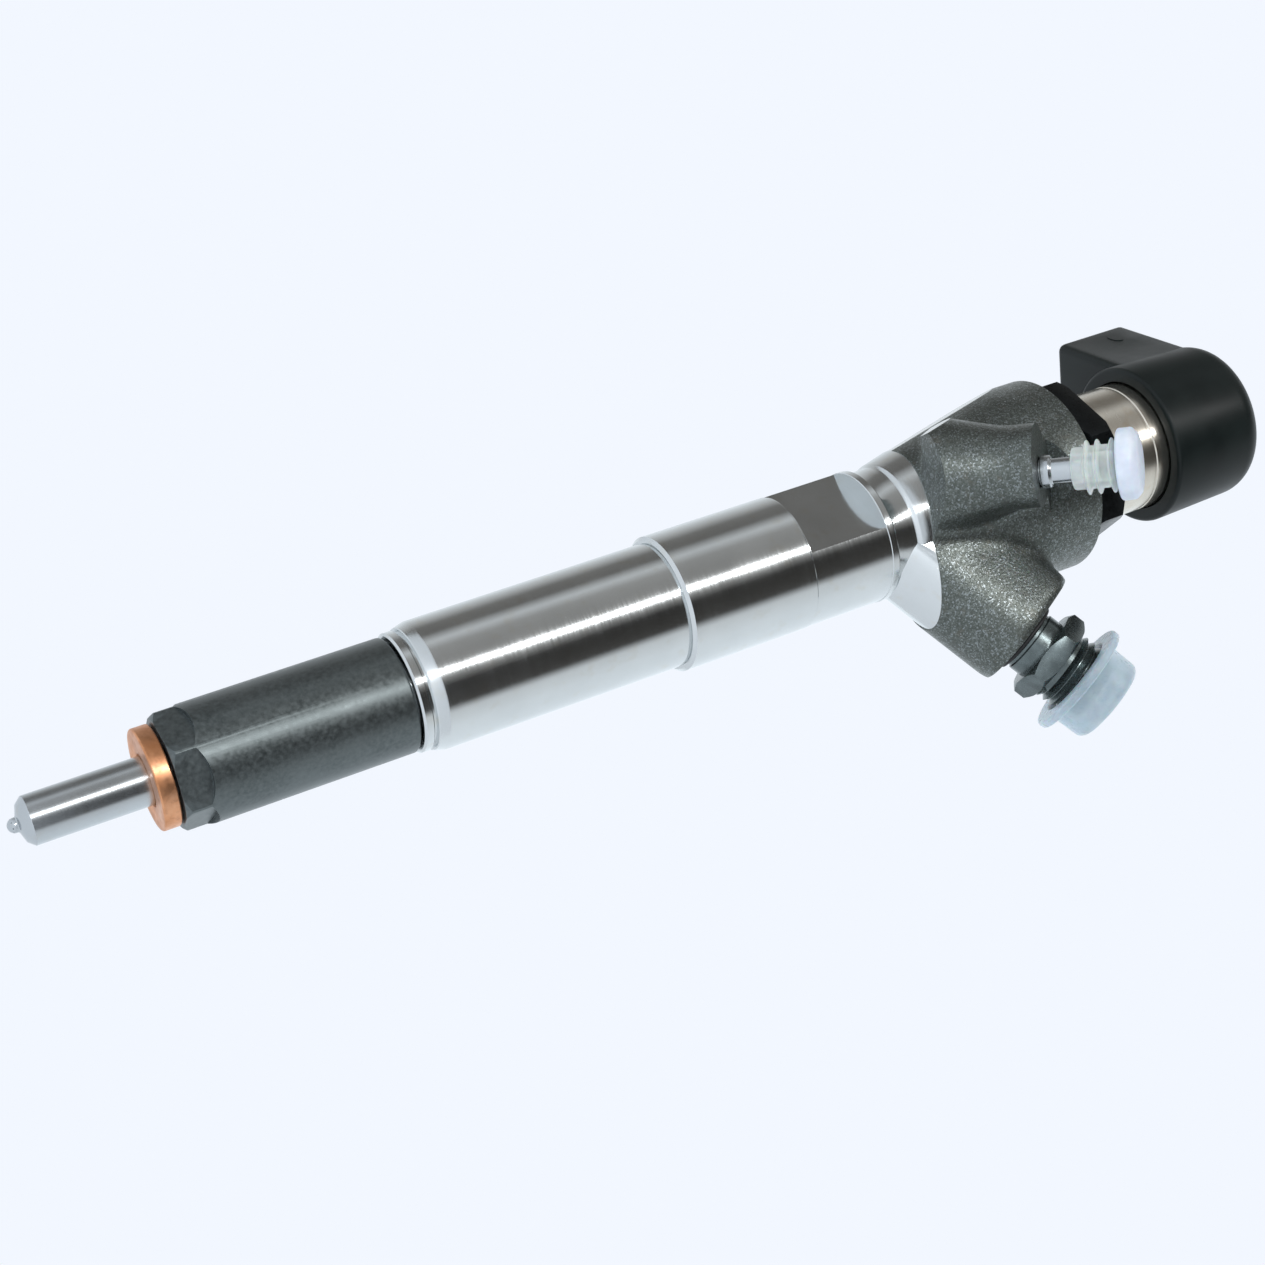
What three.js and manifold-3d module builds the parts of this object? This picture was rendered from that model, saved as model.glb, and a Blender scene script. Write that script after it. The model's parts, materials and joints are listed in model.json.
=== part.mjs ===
// Common-rail diesel fuel injector with a piezo actuator, nozzle pointing down.
// Millimetres, +Z from the nozzle tip to the connector cap. The origin is the centre of the
// copper washer's sealing face, and +X is the side that the high-pressure inlet leans to.
import * as THREE from 'three';
import { mergeVertices } from 'three/addons/utils/BufferGeometryUtils.js';
import Module from 'manifold-3d';

const wasm = await Module();
wasm.setup();

// Clearances
const gap = 0.3;                     // between any two pieces that touch or slide
const holeGap = 0.4;                 // round a wire or a blade in its hole
const past = 1;                      // a cutter runs this far past what it cuts

// Sealing washer
const washerRadius = 7.3;
const washerThickness = 2.5;

// Nozzle
const shankRadius = 3.5;
const tipReach = 19;                 // tip below the sealing face
const sacRadius = 1.05;
const tipChamfer = 0.9;
const nozzleSlip = 0.45;             // thick upper part, inside the nut's bore
const nozzleLength = 16.2;           // of the thick upper part
const shoulderChamfer = 0.6;
const guideRadius = 2;               // needle's guided part
const guideLength = 13.3;
const needleRadius = 1.5;            // needle's slim part
const needleStubRadius = 1.3;
const needleLift = 0.25;
const seatRadius = 0.5;              // seat cone's narrow end
const seatHeight = 2.4;
const chamberDepth = 2.6;            // feed groove round the needle, beyond the guide bore
const chamberHeight = 2.2;
const chamberSlope = 0.6;
const chamberFloor = 1.1;
const feedLanding = 1.4;             // drilling's end above the feed groove's floor
const needleTaper = 0.9;             // from the guided part to the slim part

// Nozzle nut
const nutRadius = 8.55;
const nutFlats = 15;                 // across flats
const nutHexHeight = 4.4;
const nutFloorRise = 0.4;            // floor higher than the hexagon
const nutLength = 34.2;
const nutWall = 1.25;
const nutChamfer = 0.5;

// Lift stop plate, dowels, nozzle spring
const plateThickness = 5.7;
const dowelRadius = 0.8;
const dowelWall = 0.65;              // outside a dowel, in the plate
const dowelBite = 2.7;               // into the nozzle and into the body
const dowelAngles = [120, -120];
const springSeatThickness = 1.7;
const springSeatBoss = 1.4;
const springWire = 0.42;
const springLength = 22;
const springTurns = 8;
const rodClearance = 0.63;           // between the spring and the control piston

// Injector body
const collarRadius = 8.9;
const collarHeight = 1.5;
const collarChamfer = 0.45;
const shaftChamferHeight = 1.95;
const shaftRadius = 9.58;
const upperShaftRadius = 10.47;
const flatZoneRadius = 10.35;
const flatDistance = 7.35;           // clamp flats from the axis
const flatHeight = 13.2;
const flatAngle = 60;                // azimuth of one clamp flat's normal
const flatChamfer = 0.3;
const ringRadius = 10.4;
const ringHeight = 1.3;
const sealGrooveRadius = 9.8;
const sealGrooveHeight = 4;
const sealGrooveChamfer = 0.4;
const shaftLength = 41.7;            // from the nut to the shoulder
const shoulderHeight = 0.9;
const upperShaftLength = 20.7;
const coneStartRadius = 10.3;
const coneHeight = 21.4;
const headRadius = 15.42;
const headHeight = 8.3;
const headFlatAngle = 200;           // azimuth of the milled side of the head
const headFlatTilt = 7.3;
const headFlatRadius = 11.1;         // distance from the axis where the flat starts
const headFlatStart = 3.4;           // that place's height above the cone's start
const feedRadius = 0.9;              // high-pressure drilling
const feedWall = 0.9;                // outside the drilling, in the nozzle
const feedInnerWall = 0.48;          // between the drilling and the spring's room
const feedValveWall = 1;             // between the drilling and the valve

// Control valve
const valveRadius = 5;
const throttleThickness = 2.4;
const valveLength = 12;
const orificeRadius = 0.5;
const valveChamberRadius = 2.9;
const valveChamberHeight = 4.6;
const valveSeatHeight = 1.2;
const mushroomRadius = 2.4;
const mushroomHeight = 3.2;
const seatClearance = 0.12;          // between the mushroom's cone and its seat
const stemRadius = 1.05;
const stemLength = 2.15;
const tappetRadius = 1.15;
const tappetLength = 6.1;
const valveSpringRadius = 2;
const valveSpringWire = 0.25;
const valveSpringTurns = 3;

// Levers
const leverRoomRadius = 6.5;
const leverRoomHeight = 4.7;
const carrierThickness = 0.7;
const ridgeHeight = 0.5;
const ridgeWidth = 0.8;
const ridgeSink = 0.2;               // joined this deep into the carrier
const leverThickness = 2.2;
const leverWidth = 5.2;
const leverPivot = 4.9;              // from the axis
const leverNose = 0.6;
const leverTail = 0.8;               // beyond the pivot
const leverBevel = 1;                // cut off the nose's upper edge

// Piezo actuator
const footThickness = 1.9;
const pushRing = 3.2;                // where the foot presses on the levers
const pushRingHalf = 0.6;
const stackSide = 7;
const stackLength = 31.8;
const stackClearance = 0.55;         // from the stack's corners to the preload tube
const tubeWall = 0.6;
const footRim = 0.8;                 // foot wider than the preload tube
const headPlateThickness = 3;
const headerThickness = 2.2;
const headerRise = 1;                // above the sleeve's end
const sleeveWall = 0.6;              // inside the body
const sleeveNeckWall = 1;            // through the actuator nut
const sleeveFlangeRim = 1.6;         // wider than the neck
const sleeveFlange = 3.3;
const flangeLift = 6.9;              // flange above the floor of the actuator's room
const sleeveOverlap = 0.1;           // sleeve's end below the foot
const sleeveRadius = 10.43;
const sleeveExposed = 10.5;          // seen between the actuator nut and the cap

// Actuator nut
const topNutFlats = 24;
const topNutHexHeight = 4.9;
const topNutNeck = 1.8;              // skirt left showing under the hexagon
const topNutTurn = 2;
const topNutSkirtRim = 0.9;          // skirt wider than the sleeve's flange
const topNutChamferRadius = 12.9;
const topNutChamfer = 0.8;

// Connector cap
const capWall = 2.57;
const capDraft = 0.4;
const capHeight = 18.4;
const capRounding = 3.7;
const capOverlap = 3.3;              // of the sleeve inside the cap
const capRoof = 3.4;
const sealGrooveLift = 1.1;          // seal ring's groove above the cap's rim
const sealRingWire = 0.55;
const connectorAngle = 132;          // azimuth the plug socket faces
const connectorReach = 20.6;
const connectorHalfWidth = 12.05;
const connectorHeight = 13.85;
const connectorSetback = 2.25;       // above the cap's rim
const connectorRounding = 1.2;
const socketDepth = 10.2;
const socketWall = 2.65;
const latchWidth = 6;
const latchHeight = 1.1;
const latchLength = 4;
const latchInset = 2;                // from the socket's mouth
const bladeWidth = 2.8;
const bladeThickness = 0.8;
const bladePitch = 5.8;
const bladeInset = 5.3;              // blade's tip inside the socket's mouth
const bladeStart = 4.9;              // blade's root from the axis
const leadRadius = 0.45;
const leadOffset = 2.2;              // leads leave the header this far off the axis
const leadBend = 2.4;                // height of the bend below the blades
const leadLanding = 0.9;             // straight end that meets the blade

// High-pressure inlet
const inletTilt = 60;                // between the inlet and the injector's axis
const inletDrop = 0.3;               // the two axes meet this far below the cone
const bossRadius = 8.5;
const bossReach = 26.9;              // boss face from where the axes meet
const bossTop = 10.4;                // web above the boss
const bossBevel = 1.5;
const bossTaper = 0.6;               // web narrower than the boss on each side
const bossCorner = 5;
const bossStart = 5;                 // boss starts this far out, inside the cone
const inletStubRadius = 5.6;
const inletStubLength = 9.4;
const inletNeckRadius = 5.05;
const inletNeckLength = 4.1;
const inletFlats = 13;
const inletHexHeight = 3.3;
const inletHexChamfer = 0.9;
const inletHexChamferHeight = 0.6;
const inletThreadRadius = 5.95;
const inletThreadLength = 5.6;
const inletReliefRadius = 5.2;
const inletReliefLength = 0.6;
const inletChamfer = 0.9;
const inletPassage = 1.2;
const inletConeRadius = 4.2;
const inletConeDepth = 2.4;
const filterRadius = 2;
const filterLength = 14;
const filterRoomStart = 6.2;         // above the connector's lower end
const sealBandWidth = 0.5;
const sealBandHeight = 1.1;
const inletCapFlangeRim = 2.3;
const inletCapFlange = 1.5;
const inletCapWall = 0.7;
const inletThreadShown = 2.8;        // thread left bare below the cap
const inletCapRoom = 2.1;            // clear of the connector's end
const inletCapEnd = 1.1;

// Leak-off port
const leakTilt = 45;
const leakAngle = -56;
const leakOffset = 6.7;              // the port's axis misses the injector's axis by this much
const leakDrop = 1.1;                // the nearest point is this far below the cone
const leakReach = 25.75;             // boss face from that point
const leakBossRadius = 6.1;
const leakBossShift = 1.15;          // forged boss off the drilled port
const leakBossStart = 10;
const leakElbow = 12;                // where the port meets the cross drilling
const spigotStubRadius = 2;
const spigotStubLength = 6;
const spigotCollarRadius = 2.5;
const spigotCollarHeight = 1.5;
const tubeOuterRadius = 1.95;
const tubeBoreRadius = 1.15;
const tubeLength = 7.2;
const plugStart = 4.9;
const plugRadius = 3.25;
const plugLength = 6.9;
const plugRibRadius = 4.15;
const plugRibHeight = 0.8;
const plugRibs = [2.3, 3.9, 6];      // up from the plug's open end
const plugHeadRadius = 5.4;
const plugHeadHeight = 3.1;
const plugHeadDome = 0.7;
const plugBoreDepth = 6.2;
const plugEdge = 0.4;

// Facets round a full turn
const wide = 40;
const middle = 24;
const narrow = 16;
const hole = 8;

// Radii that follow from the sizes above
const nutBore = nutRadius - nutWall;
const spigotRadius = nutBore - gap;
const nozzleRadius = nutBore - nozzleSlip;
const dowelCircle = nozzleRadius - dowelRadius - dowelWall;
const feedInset = nozzleRadius - feedRadius - feedWall;
const feedOutset = valveRadius + gap + feedRadius + feedValveWall;
const springRoomRadius = feedInset - feedRadius - feedInnerWall;
const springRadius = springRoomRadius - gap - springWire;
const springSeatRadius = springRoomRadius - gap;
const rodRadius = springRadius - springWire - rodClearance;
const tubeBore = stackSide / Math.SQRT2 + stackClearance;
const tubeRadius = tubeBore + tubeWall;
const footRadius = tubeRadius + footRim;
const sleeveBore = footRadius + holeGap;
const sleeveLowRadius = sleeveBore + sleeveWall;
const sleeveNeckRadius = sleeveBore + sleeveNeckWall;
const sleeveFlangeRadius = sleeveNeckRadius + sleeveFlangeRim;
const topNutSkirtRadius = sleeveFlangeRadius + topNutSkirtRim;
const topNutBore = sleeveNeckRadius + gap;
const capBore = sleeveRadius + gap;
const capRadius = sleeveRadius + capWall;
const capRoomRadius = sleeveBore + gap;
const inletCapBore = inletThreadRadius + gap;
const inletCapRadius = inletCapBore + inletCapWall;
const inletCapFlangeRadius = inletCapRadius + inletCapFlangeRim;

// Heights that follow from the sizes above
const sacCentre = -tipReach + sacRadius;
const seatBottom = sacCentre + sacRadius * 0.4;
const seatTop = seatBottom + seatHeight;
const nutBottom = washerThickness + gap;
const nutTop = nutBottom + nutLength;
const nutFloor = nutBottom + nutHexHeight + nutFloorRise;
const nozzleShoulder = nutFloor + gap;
const nozzleTop = nozzleShoulder + nozzleLength;
const plateBottom = nozzleTop + gap;
const plateTop = plateBottom + plateThickness;
const bodyBottom = plateTop + gap;
const needleShoulder = plateBottom - needleLift - gap;
const needleTop = bodyBottom + gap * 3;
const springSeatBottom = needleTop + gap;
const springBottom = springSeatBottom + springSeatThickness + gap;
const springTop = springBottom + springLength;
const springRoomTop = springTop + gap;
const rodBottom = springSeatBottom + springSeatThickness + springSeatBoss + gap;
const collarBottom = nutTop + gap;
const shaftTop = collarBottom + shaftLength;
const upperShaftTop = shaftTop + shoulderHeight + upperShaftLength;
const flatBottom = upperShaftTop + flatChamfer;
const flatTop = flatBottom + flatHeight;
const grooveBottom = flatTop + ringHeight;
const grooveTop = grooveBottom + sealGrooveHeight;
const coneBottom = grooveTop + sealGrooveChamfer;
const headFlatBottom = coneBottom + headFlatStart;
const coneTop = coneBottom + coneHeight;
const bodyTop = coneTop + headHeight;
const topNutBottom = bodyTop + topNutNeck;
const topNutTop = topNutBottom + topNutHexHeight;
const capBottom = topNutTop + gap + sleeveExposed;
const capTop = capBottom + capHeight;
const sleeveTop = capBottom + capOverlap;
const headerTop = sleeveTop + headerRise;
const headerBottom = headerTop - headerThickness;
const headPlateTop = headerBottom - gap;
const headPlateBottom = headPlateTop - headPlateThickness;
const stackTop = headPlateBottom - gap;
const stackBottom = stackTop - stackLength;
const footTop = stackBottom - gap;
const footBottom = footTop - footThickness;
const sleeveBottom = footBottom - sleeveOverlap;
const actuatorRoomBottom = sleeveBottom - 2 * gap;
const leverRoomBottom = actuatorRoomBottom - leverRoomHeight;
const carrierBottom = leverRoomBottom + gap;
const carrierTop = carrierBottom + carrierThickness;
const leverBottom = carrierTop + ridgeHeight + gap;
const leverTop = leverBottom + leverThickness;
const tappetTop = leverBottom - gap;
const tappetBottom = tappetTop - tappetLength;
const valveTop = leverRoomBottom - 2 * gap;
const valveBottom = valveTop - valveLength;
const throttleTop = valveBottom - gap;
const throttleBottom = throttleTop - throttleThickness;
const valveRoomBottom = throttleBottom - gap;
const rodTop = valveRoomBottom - gap;
const valveChamberTop = valveBottom + valveChamberHeight;
const stemBore = tappetRadius + gap;
const stemTop = tappetBottom - gap;
const mushroomBottom = stemTop - stemLength - mushroomHeight;
const flangeBottom = actuatorRoomBottom + flangeLift;
const flangeTop = flangeBottom + sleeveFlange;
const skirtBottom = flangeTop + gap;
const capRoomTop = capTop - capRoof;
const sealGrooveBottom = capBottom + sealGrooveLift;
const socketBottom = capBottom + connectorSetback;
const bladeHeight = socketBottom + connectorHeight / 2;
const inletHeight = coneBottom - inletDrop;
const leakHeight = coneBottom - leakDrop;

// Places along the inlet, from where its axis meets the injector's
const inletStubBottom = bossReach - inletStubLength;
const inletNeckBottom = bossReach - gap;
const inletHexBottom = inletNeckBottom + inletNeckLength;
const inletHexTop = inletHexBottom + inletHexHeight;
const inletThreadBottom = inletHexTop + inletReliefLength;
const inletEnd = inletThreadBottom + inletThreadLength + inletChamfer;
const inletCapStart = inletThreadBottom + inletThreadShown;
const filterRoomBottom = inletStubBottom + filterRoomStart;
const filterBottom = filterRoomBottom + gap;

const toRadians = THREE.MathUtils.degToRad;

// ---- Shapes ----

// One closed mesh with shared corners and no empty triangles, wound outwards.
function closed(geometry) {
  const bare = geometry.clone();
  bare.deleteAttribute('normal');
  bare.deleteAttribute('uv');
  const merged = mergeVertices(bare, 1e-4);
  const position = merged.getAttribute('position');
  const faces = [];
  let volume = 0;
  const a = new THREE.Vector3();
  const b = new THREE.Vector3();
  const c = new THREE.Vector3();
  for (let i = 0; i < merged.index.count; i += 3) {
    const face = [merged.index.getX(i), merged.index.getX(i + 1), merged.index.getX(i + 2)];
    if (new Set(face).size < 3) continue;
    a.fromBufferAttribute(position, face[0]);
    b.fromBufferAttribute(position, face[1]);
    c.fromBufferAttribute(position, face[2]);
    volume += a.dot(b.clone().cross(c));
    faces.push(face);
  }
  const wound = volume < 0 ? faces.map((face) => face.reverse()) : faces;
  const result = new THREE.BufferGeometry();
  result.setAttribute('position', new THREE.BufferAttribute(position.array.slice(), 3));
  result.setIndex(wound.flat());
  return result;
}

function toSolid(geometry) {
  const mesh = closed(geometry);
  return new wasm.Manifold(new wasm.Mesh({
    numProp: 3,
    vertProperties: new Float32Array(mesh.getAttribute('position').array),
    triVerts: new Uint32Array(mesh.index.array),
  }));
}

function toGeometry(solid) {
  const mesh = solid.getMesh();
  const geometry = new THREE.BufferGeometry();
  geometry.setAttribute('position', new THREE.BufferAttribute(mesh.vertProperties, 3));
  geometry.setIndex(new THREE.BufferAttribute(mesh.triVerts, 1));
  return geometry;
}

// Joins what is added to the base, then takes away what is cut.
function shaped(base, { add = [], cut = [], keep = [] }) {
  let solid = toSolid(base);
  for (const piece of add) solid = solid.add(toSolid(piece));
  for (const piece of keep) solid = solid.intersect(toSolid(piece));
  for (const piece of cut) solid = solid.subtract(toSolid(piece));
  return toGeometry(solid);
}

// A round solid about Z from [radius, height] pairs.
function turned(profile, facets = middle) {
  const points = profile.map(([radius, height]) => new THREE.Vector2(radius, height));
  return new THREE.LatheGeometry(points, facets).rotateX(Math.PI / 2);
}

// A turned ring whose profile closes on itself.
function turnedRing(profile, facets = middle) {
  return turned([...profile, profile[0]], facets);
}

function tube(inner, outer, bottom, top, facets = middle) {
  return turnedRing([[inner, bottom], [outer, bottom], [outer, top], [inner, top]], facets);
}

function disc(radius, bottom, top, facets = middle) {
  return turned([[0, bottom], [radius, bottom], [radius, top], [0, top]], facets);
}

// Points on a quarter circle, for a profile's rounded corner.
function arc(centreRadius, centreHeight, radius, from, to, steps = 4) {
  return Array.from({ length: steps + 1 }, (_, i) => {
    const angle = toRadians(from + (to - from) * i / steps);
    return [centreRadius + radius * Math.cos(angle), centreHeight + radius * Math.sin(angle)];
  });
}

function hexagon(flats, bottom, top) {
  return new THREE.CylinderGeometry(flats / Math.sqrt(3), flats / Math.sqrt(3), top - bottom, 6)
    .rotateX(Math.PI / 2)
    .translate(0, 0, (bottom + top) / 2);
}

// A straight round bar from one point to another.
function bar(from, to, radius, facets = hole) {
  const length = from.distanceTo(to);
  const turn = new THREE.Quaternion().setFromUnitVectors(
    new THREE.Vector3(0, 0, 1), to.clone().sub(from).normalize());
  return disc(radius, 0, length, facets).applyQuaternion(turn).translate(from.x, from.y, from.z);
}

function block(size, centre) {
  return new THREE.BoxGeometry(...size).translate(...centre);
}

class Helix extends THREE.Curve {
  constructor(radius, bottom, top, turns) {
    super();
    Object.assign(this, { radius, bottom, top, turns });
  }

  getPoint(t, target = new THREE.Vector3()) {
    const angle = t * this.turns * 2 * Math.PI;
    const height = this.bottom + (this.top - this.bottom) * t;
    return target.set(this.radius * Math.cos(angle), this.radius * Math.sin(angle), height);
  }
}

function wireAlong(path, radius, steps, sides) {
  const section = new THREE.Shape(new THREE.EllipseCurve(0, 0, radius, radius).getPoints(sides).slice(0, -1));
  return new THREE.ExtrudeGeometry(section, { steps, bevelEnabled: false, extrudePath: path });
}

function coil(radius, wire, bottom, top, turns) {
  const path = new Helix(radius, bottom + wire, top - wire, turns);
  return wireAlong(path, wire, turns * 10, 6);
}

// ---- Places ----

function point(radius, azimuth, height) {
  const angle = toRadians(azimuth);
  return new THREE.Vector3(radius * Math.cos(angle), radius * Math.sin(angle), height);
}

// A group whose own +Z leaves the injector at a tilt from its axis, towards an azimuth.
function tiltedGroup(position, tilt, azimuth) {
  const group = new THREE.Group();
  group.position.copy(position);
  group.rotation.set(0, toRadians(tilt), toRadians(azimuth), 'ZYX');
  group.updateMatrix();
  return group;
}

const inletGroup = tiltedGroup(new THREE.Vector3(0, 0, inletHeight), inletTilt, 0);
const leakGroup = tiltedGroup(point(leakOffset, leakAngle - 90, leakHeight), leakTilt, leakAngle);
const connectorGroup = tiltedGroup(new THREE.Vector3(0, 0, 0), 0, connectorAngle);

function onInlet(geometry) {
  return geometry.applyMatrix4(inletGroup.matrix);
}

function onLeak(geometry) {
  return geometry.applyMatrix4(leakGroup.matrix);
}

function leakPoint(along) {
  return new THREE.Vector3(0, 0, along).applyMatrix4(leakGroup.matrix);
}

// ---- Materials ----

function finish(color, roughness, metalness) {
  return () => new THREE.MeshStandardMaterial({ color, roughness, metalness });
}

const groundSteel = finish(0xb9b7b2, 0.22, 1);
const springSteel = finish(0x8d8b86, 0.35, 1);
const forgedSteel = finish(0x4a4c49, 0.55, 1);
const phosphatedSteel = finish(0x2b2f2c, 0.5, 0.9);
const blackenedSteel = finish(0x17191a, 0.3, 0.9);
const copper = finish(0xb87952, 0.35, 1);
const blackPlastic = finish(0x161a19, 0.45, 0);
const clearPlastic = finish(0xd5e2ea, 0.3, 0);
const ceramic = finish(0x6b5a3c, 0.6, 0);
const rubber = finish(0x141414, 0.7, 0);
const tinned = finish(0xc9c6bb, 0.3, 1);

const injector = new THREE.Group();

function part(name, geometry, material, group = injector) {
  const mesh = new THREE.Mesh(closed(geometry), material());
  mesh.name = name;
  group.add(mesh);
  return mesh;
}

// ---- Nozzle end ----

function nozzleBodyGeometry() {
  const tipFace = sacCentre + sacRadius * 0.6;
  const outer = [
    ...arc(0, sacCentre, sacRadius, -90, -15),
    [shankRadius - tipChamfer, tipFace],
    [shankRadius, tipFace + tipChamfer],
    [shankRadius, nozzleShoulder],
    [nozzleRadius - shoulderChamfer, nozzleShoulder],
    [nozzleRadius, nozzleShoulder + shoulderChamfer],
    [nozzleRadius, nozzleTop],
  ];
  const bore = guideRadius + gap;
  const slimBore = needleRadius + holeGap;
  const chamberBottom = needleShoulder - guideLength + gap;
  const inner = [
    [bore, nozzleTop],
    [bore, chamberBottom + chamberHeight],
    [bore + chamberDepth, chamberBottom + chamberHeight - chamberSlope],
    [bore + chamberDepth, chamberBottom],
    [slimBore, chamberBottom - chamberFloor],
    [slimBore, seatTop],
    [seatRadius, seatBottom],
    [seatRadius, sacCentre + gap / 2],
    [0, sacCentre],
  ];
  const feed = bar(
    point(feedInset, 0, nozzleTop + past),
    point(feedInset, 0, chamberBottom + feedLanding),
    feedRadius);
  return shaped(turned([...outer, ...inner], middle), { cut: [feed, ...dowelHoles()] });
}

function dowelHoles() {
  return dowelAngles.map((angle) => bar(
    point(dowelCircle, angle, nozzleTop - dowelBite - gap),
    point(dowelCircle, angle, bodyBottom + dowelBite + gap),
    dowelRadius + gap));
}

function needleGeometry() {
  const slope = (needleRadius + holeGap - seatRadius) / seatHeight;
  const coneLift = gap * Math.sqrt(1 + slope * slope) / slope;
  const coneRadius = (height) => seatRadius + (height - seatBottom - coneLift) * slope;
  const coneEnd = seatBottom + coneLift + (needleRadius - seatRadius) / slope;
  const tip = seatBottom + gap / 2;
  return turned([
    [0, tip],
    [coneRadius(tip), tip],
    [needleRadius, coneEnd],
    [needleRadius, needleShoulder - guideLength - needleTaper],
    [guideRadius, needleShoulder - guideLength],
    [guideRadius, needleShoulder],
    [needleStubRadius, needleShoulder],
    [needleStubRadius, needleTop],
    [0, needleTop],
  ], narrow);
}

function nozzleNutGeometry() {
  const profile = [
    [shankRadius + gap, nutBottom],
    [nutRadius - nutChamfer, nutBottom],
    [nutRadius, nutBottom + nutChamfer],
    [nutRadius, nutTop - nutChamfer],
    [nutRadius - nutChamfer, nutTop],
    [nutBore, nutTop],
    [nutBore, nutFloor],
    [shankRadius + gap, nutFloor],
  ];
  const outsideHexagon = shaped(disc(nutRadius + past, nutBottom - past, nutBottom + nutHexHeight, wide), {
    cut: [hexagon(nutFlats, nutBottom - 2 * past, nutBottom + nutHexHeight + past)],
  });
  return shaped(turnedRing(profile, wide), { cut: [outsideHexagon] });
}

part('sealing_washer', tube(shankRadius + gap, washerRadius, 0, washerThickness, wide), copper);
part('nozzle_body', nozzleBodyGeometry(), groundSteel);
part('nozzle_needle', needleGeometry(), groundSteel);
part('nozzle_nut', nozzleNutGeometry(), phosphatedSteel);

part('lift_stop_plate', shaped(disc(nozzleRadius, plateBottom, plateTop), {
  cut: [
    disc(needleStubRadius + gap, plateBottom - past, plateTop + past, narrow),
    bar(point(feedInset, 0, plateBottom - past), point(feedInset, 0, plateTop + past), feedRadius),
    ...dowelHoles(),
  ],
}), groundSteel);

dowelAngles.forEach((angle, i) => {
  const from = point(dowelCircle, angle, nozzleTop - dowelBite);
  const to = point(dowelCircle, angle, bodyBottom + dowelBite);
  part(`dowel_pin_${i + 1}`, bar(from, to, dowelRadius), groundSteel);
});

part('spring_seat', turned([
  [0, springSeatBottom],
  [springSeatRadius, springSeatBottom],
  [springSeatRadius, springSeatBottom + springSeatThickness],
  [rodRadius, springSeatBottom + springSeatThickness],
  [rodRadius, springSeatBottom + springSeatThickness + springSeatBoss],
  [0, springSeatBottom + springSeatThickness + springSeatBoss],
], narrow), groundSteel);
part('nozzle_spring', coil(springRadius, springWire, springBottom, springTop, springTurns), springSteel);
part('control_piston', disc(rodRadius, rodBottom, rodTop, narrow), groundSteel);

// ---- Body with its forged head ----

// Forged boss that carries the inlet, with the web that fills the corner to the head.
function inletBossGeometry() {
  const cornerAcross = bossRadius - bossTaper - bossCorner;
  const cornerUp = bossTop - bossCorner;
  const cornerRadius = bossCorner - bossBevel;
  const outline = new THREE.Shape();
  outline.absarc(0, 0, bossRadius - bossBevel, Math.PI, 2 * Math.PI, false);
  outline.absarc(cornerAcross, cornerUp, cornerRadius, 0, Math.PI / 2, false);
  outline.absarc(-cornerAcross, cornerUp, cornerRadius, Math.PI / 2, Math.PI, false);
  outline.closePath();
  const shape = new THREE.Shape(outline.getPoints(6));
  return onInlet(new THREE.ExtrudeGeometry(shape, {
    depth: bossReach - bossBevel - bossStart,
    bevelThickness: bossBevel,
    bevelSize: bossBevel,
    bevelSegments: 2,
  }).rotateZ(Math.PI / 2).translate(0, 0, bossStart));
}

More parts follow.
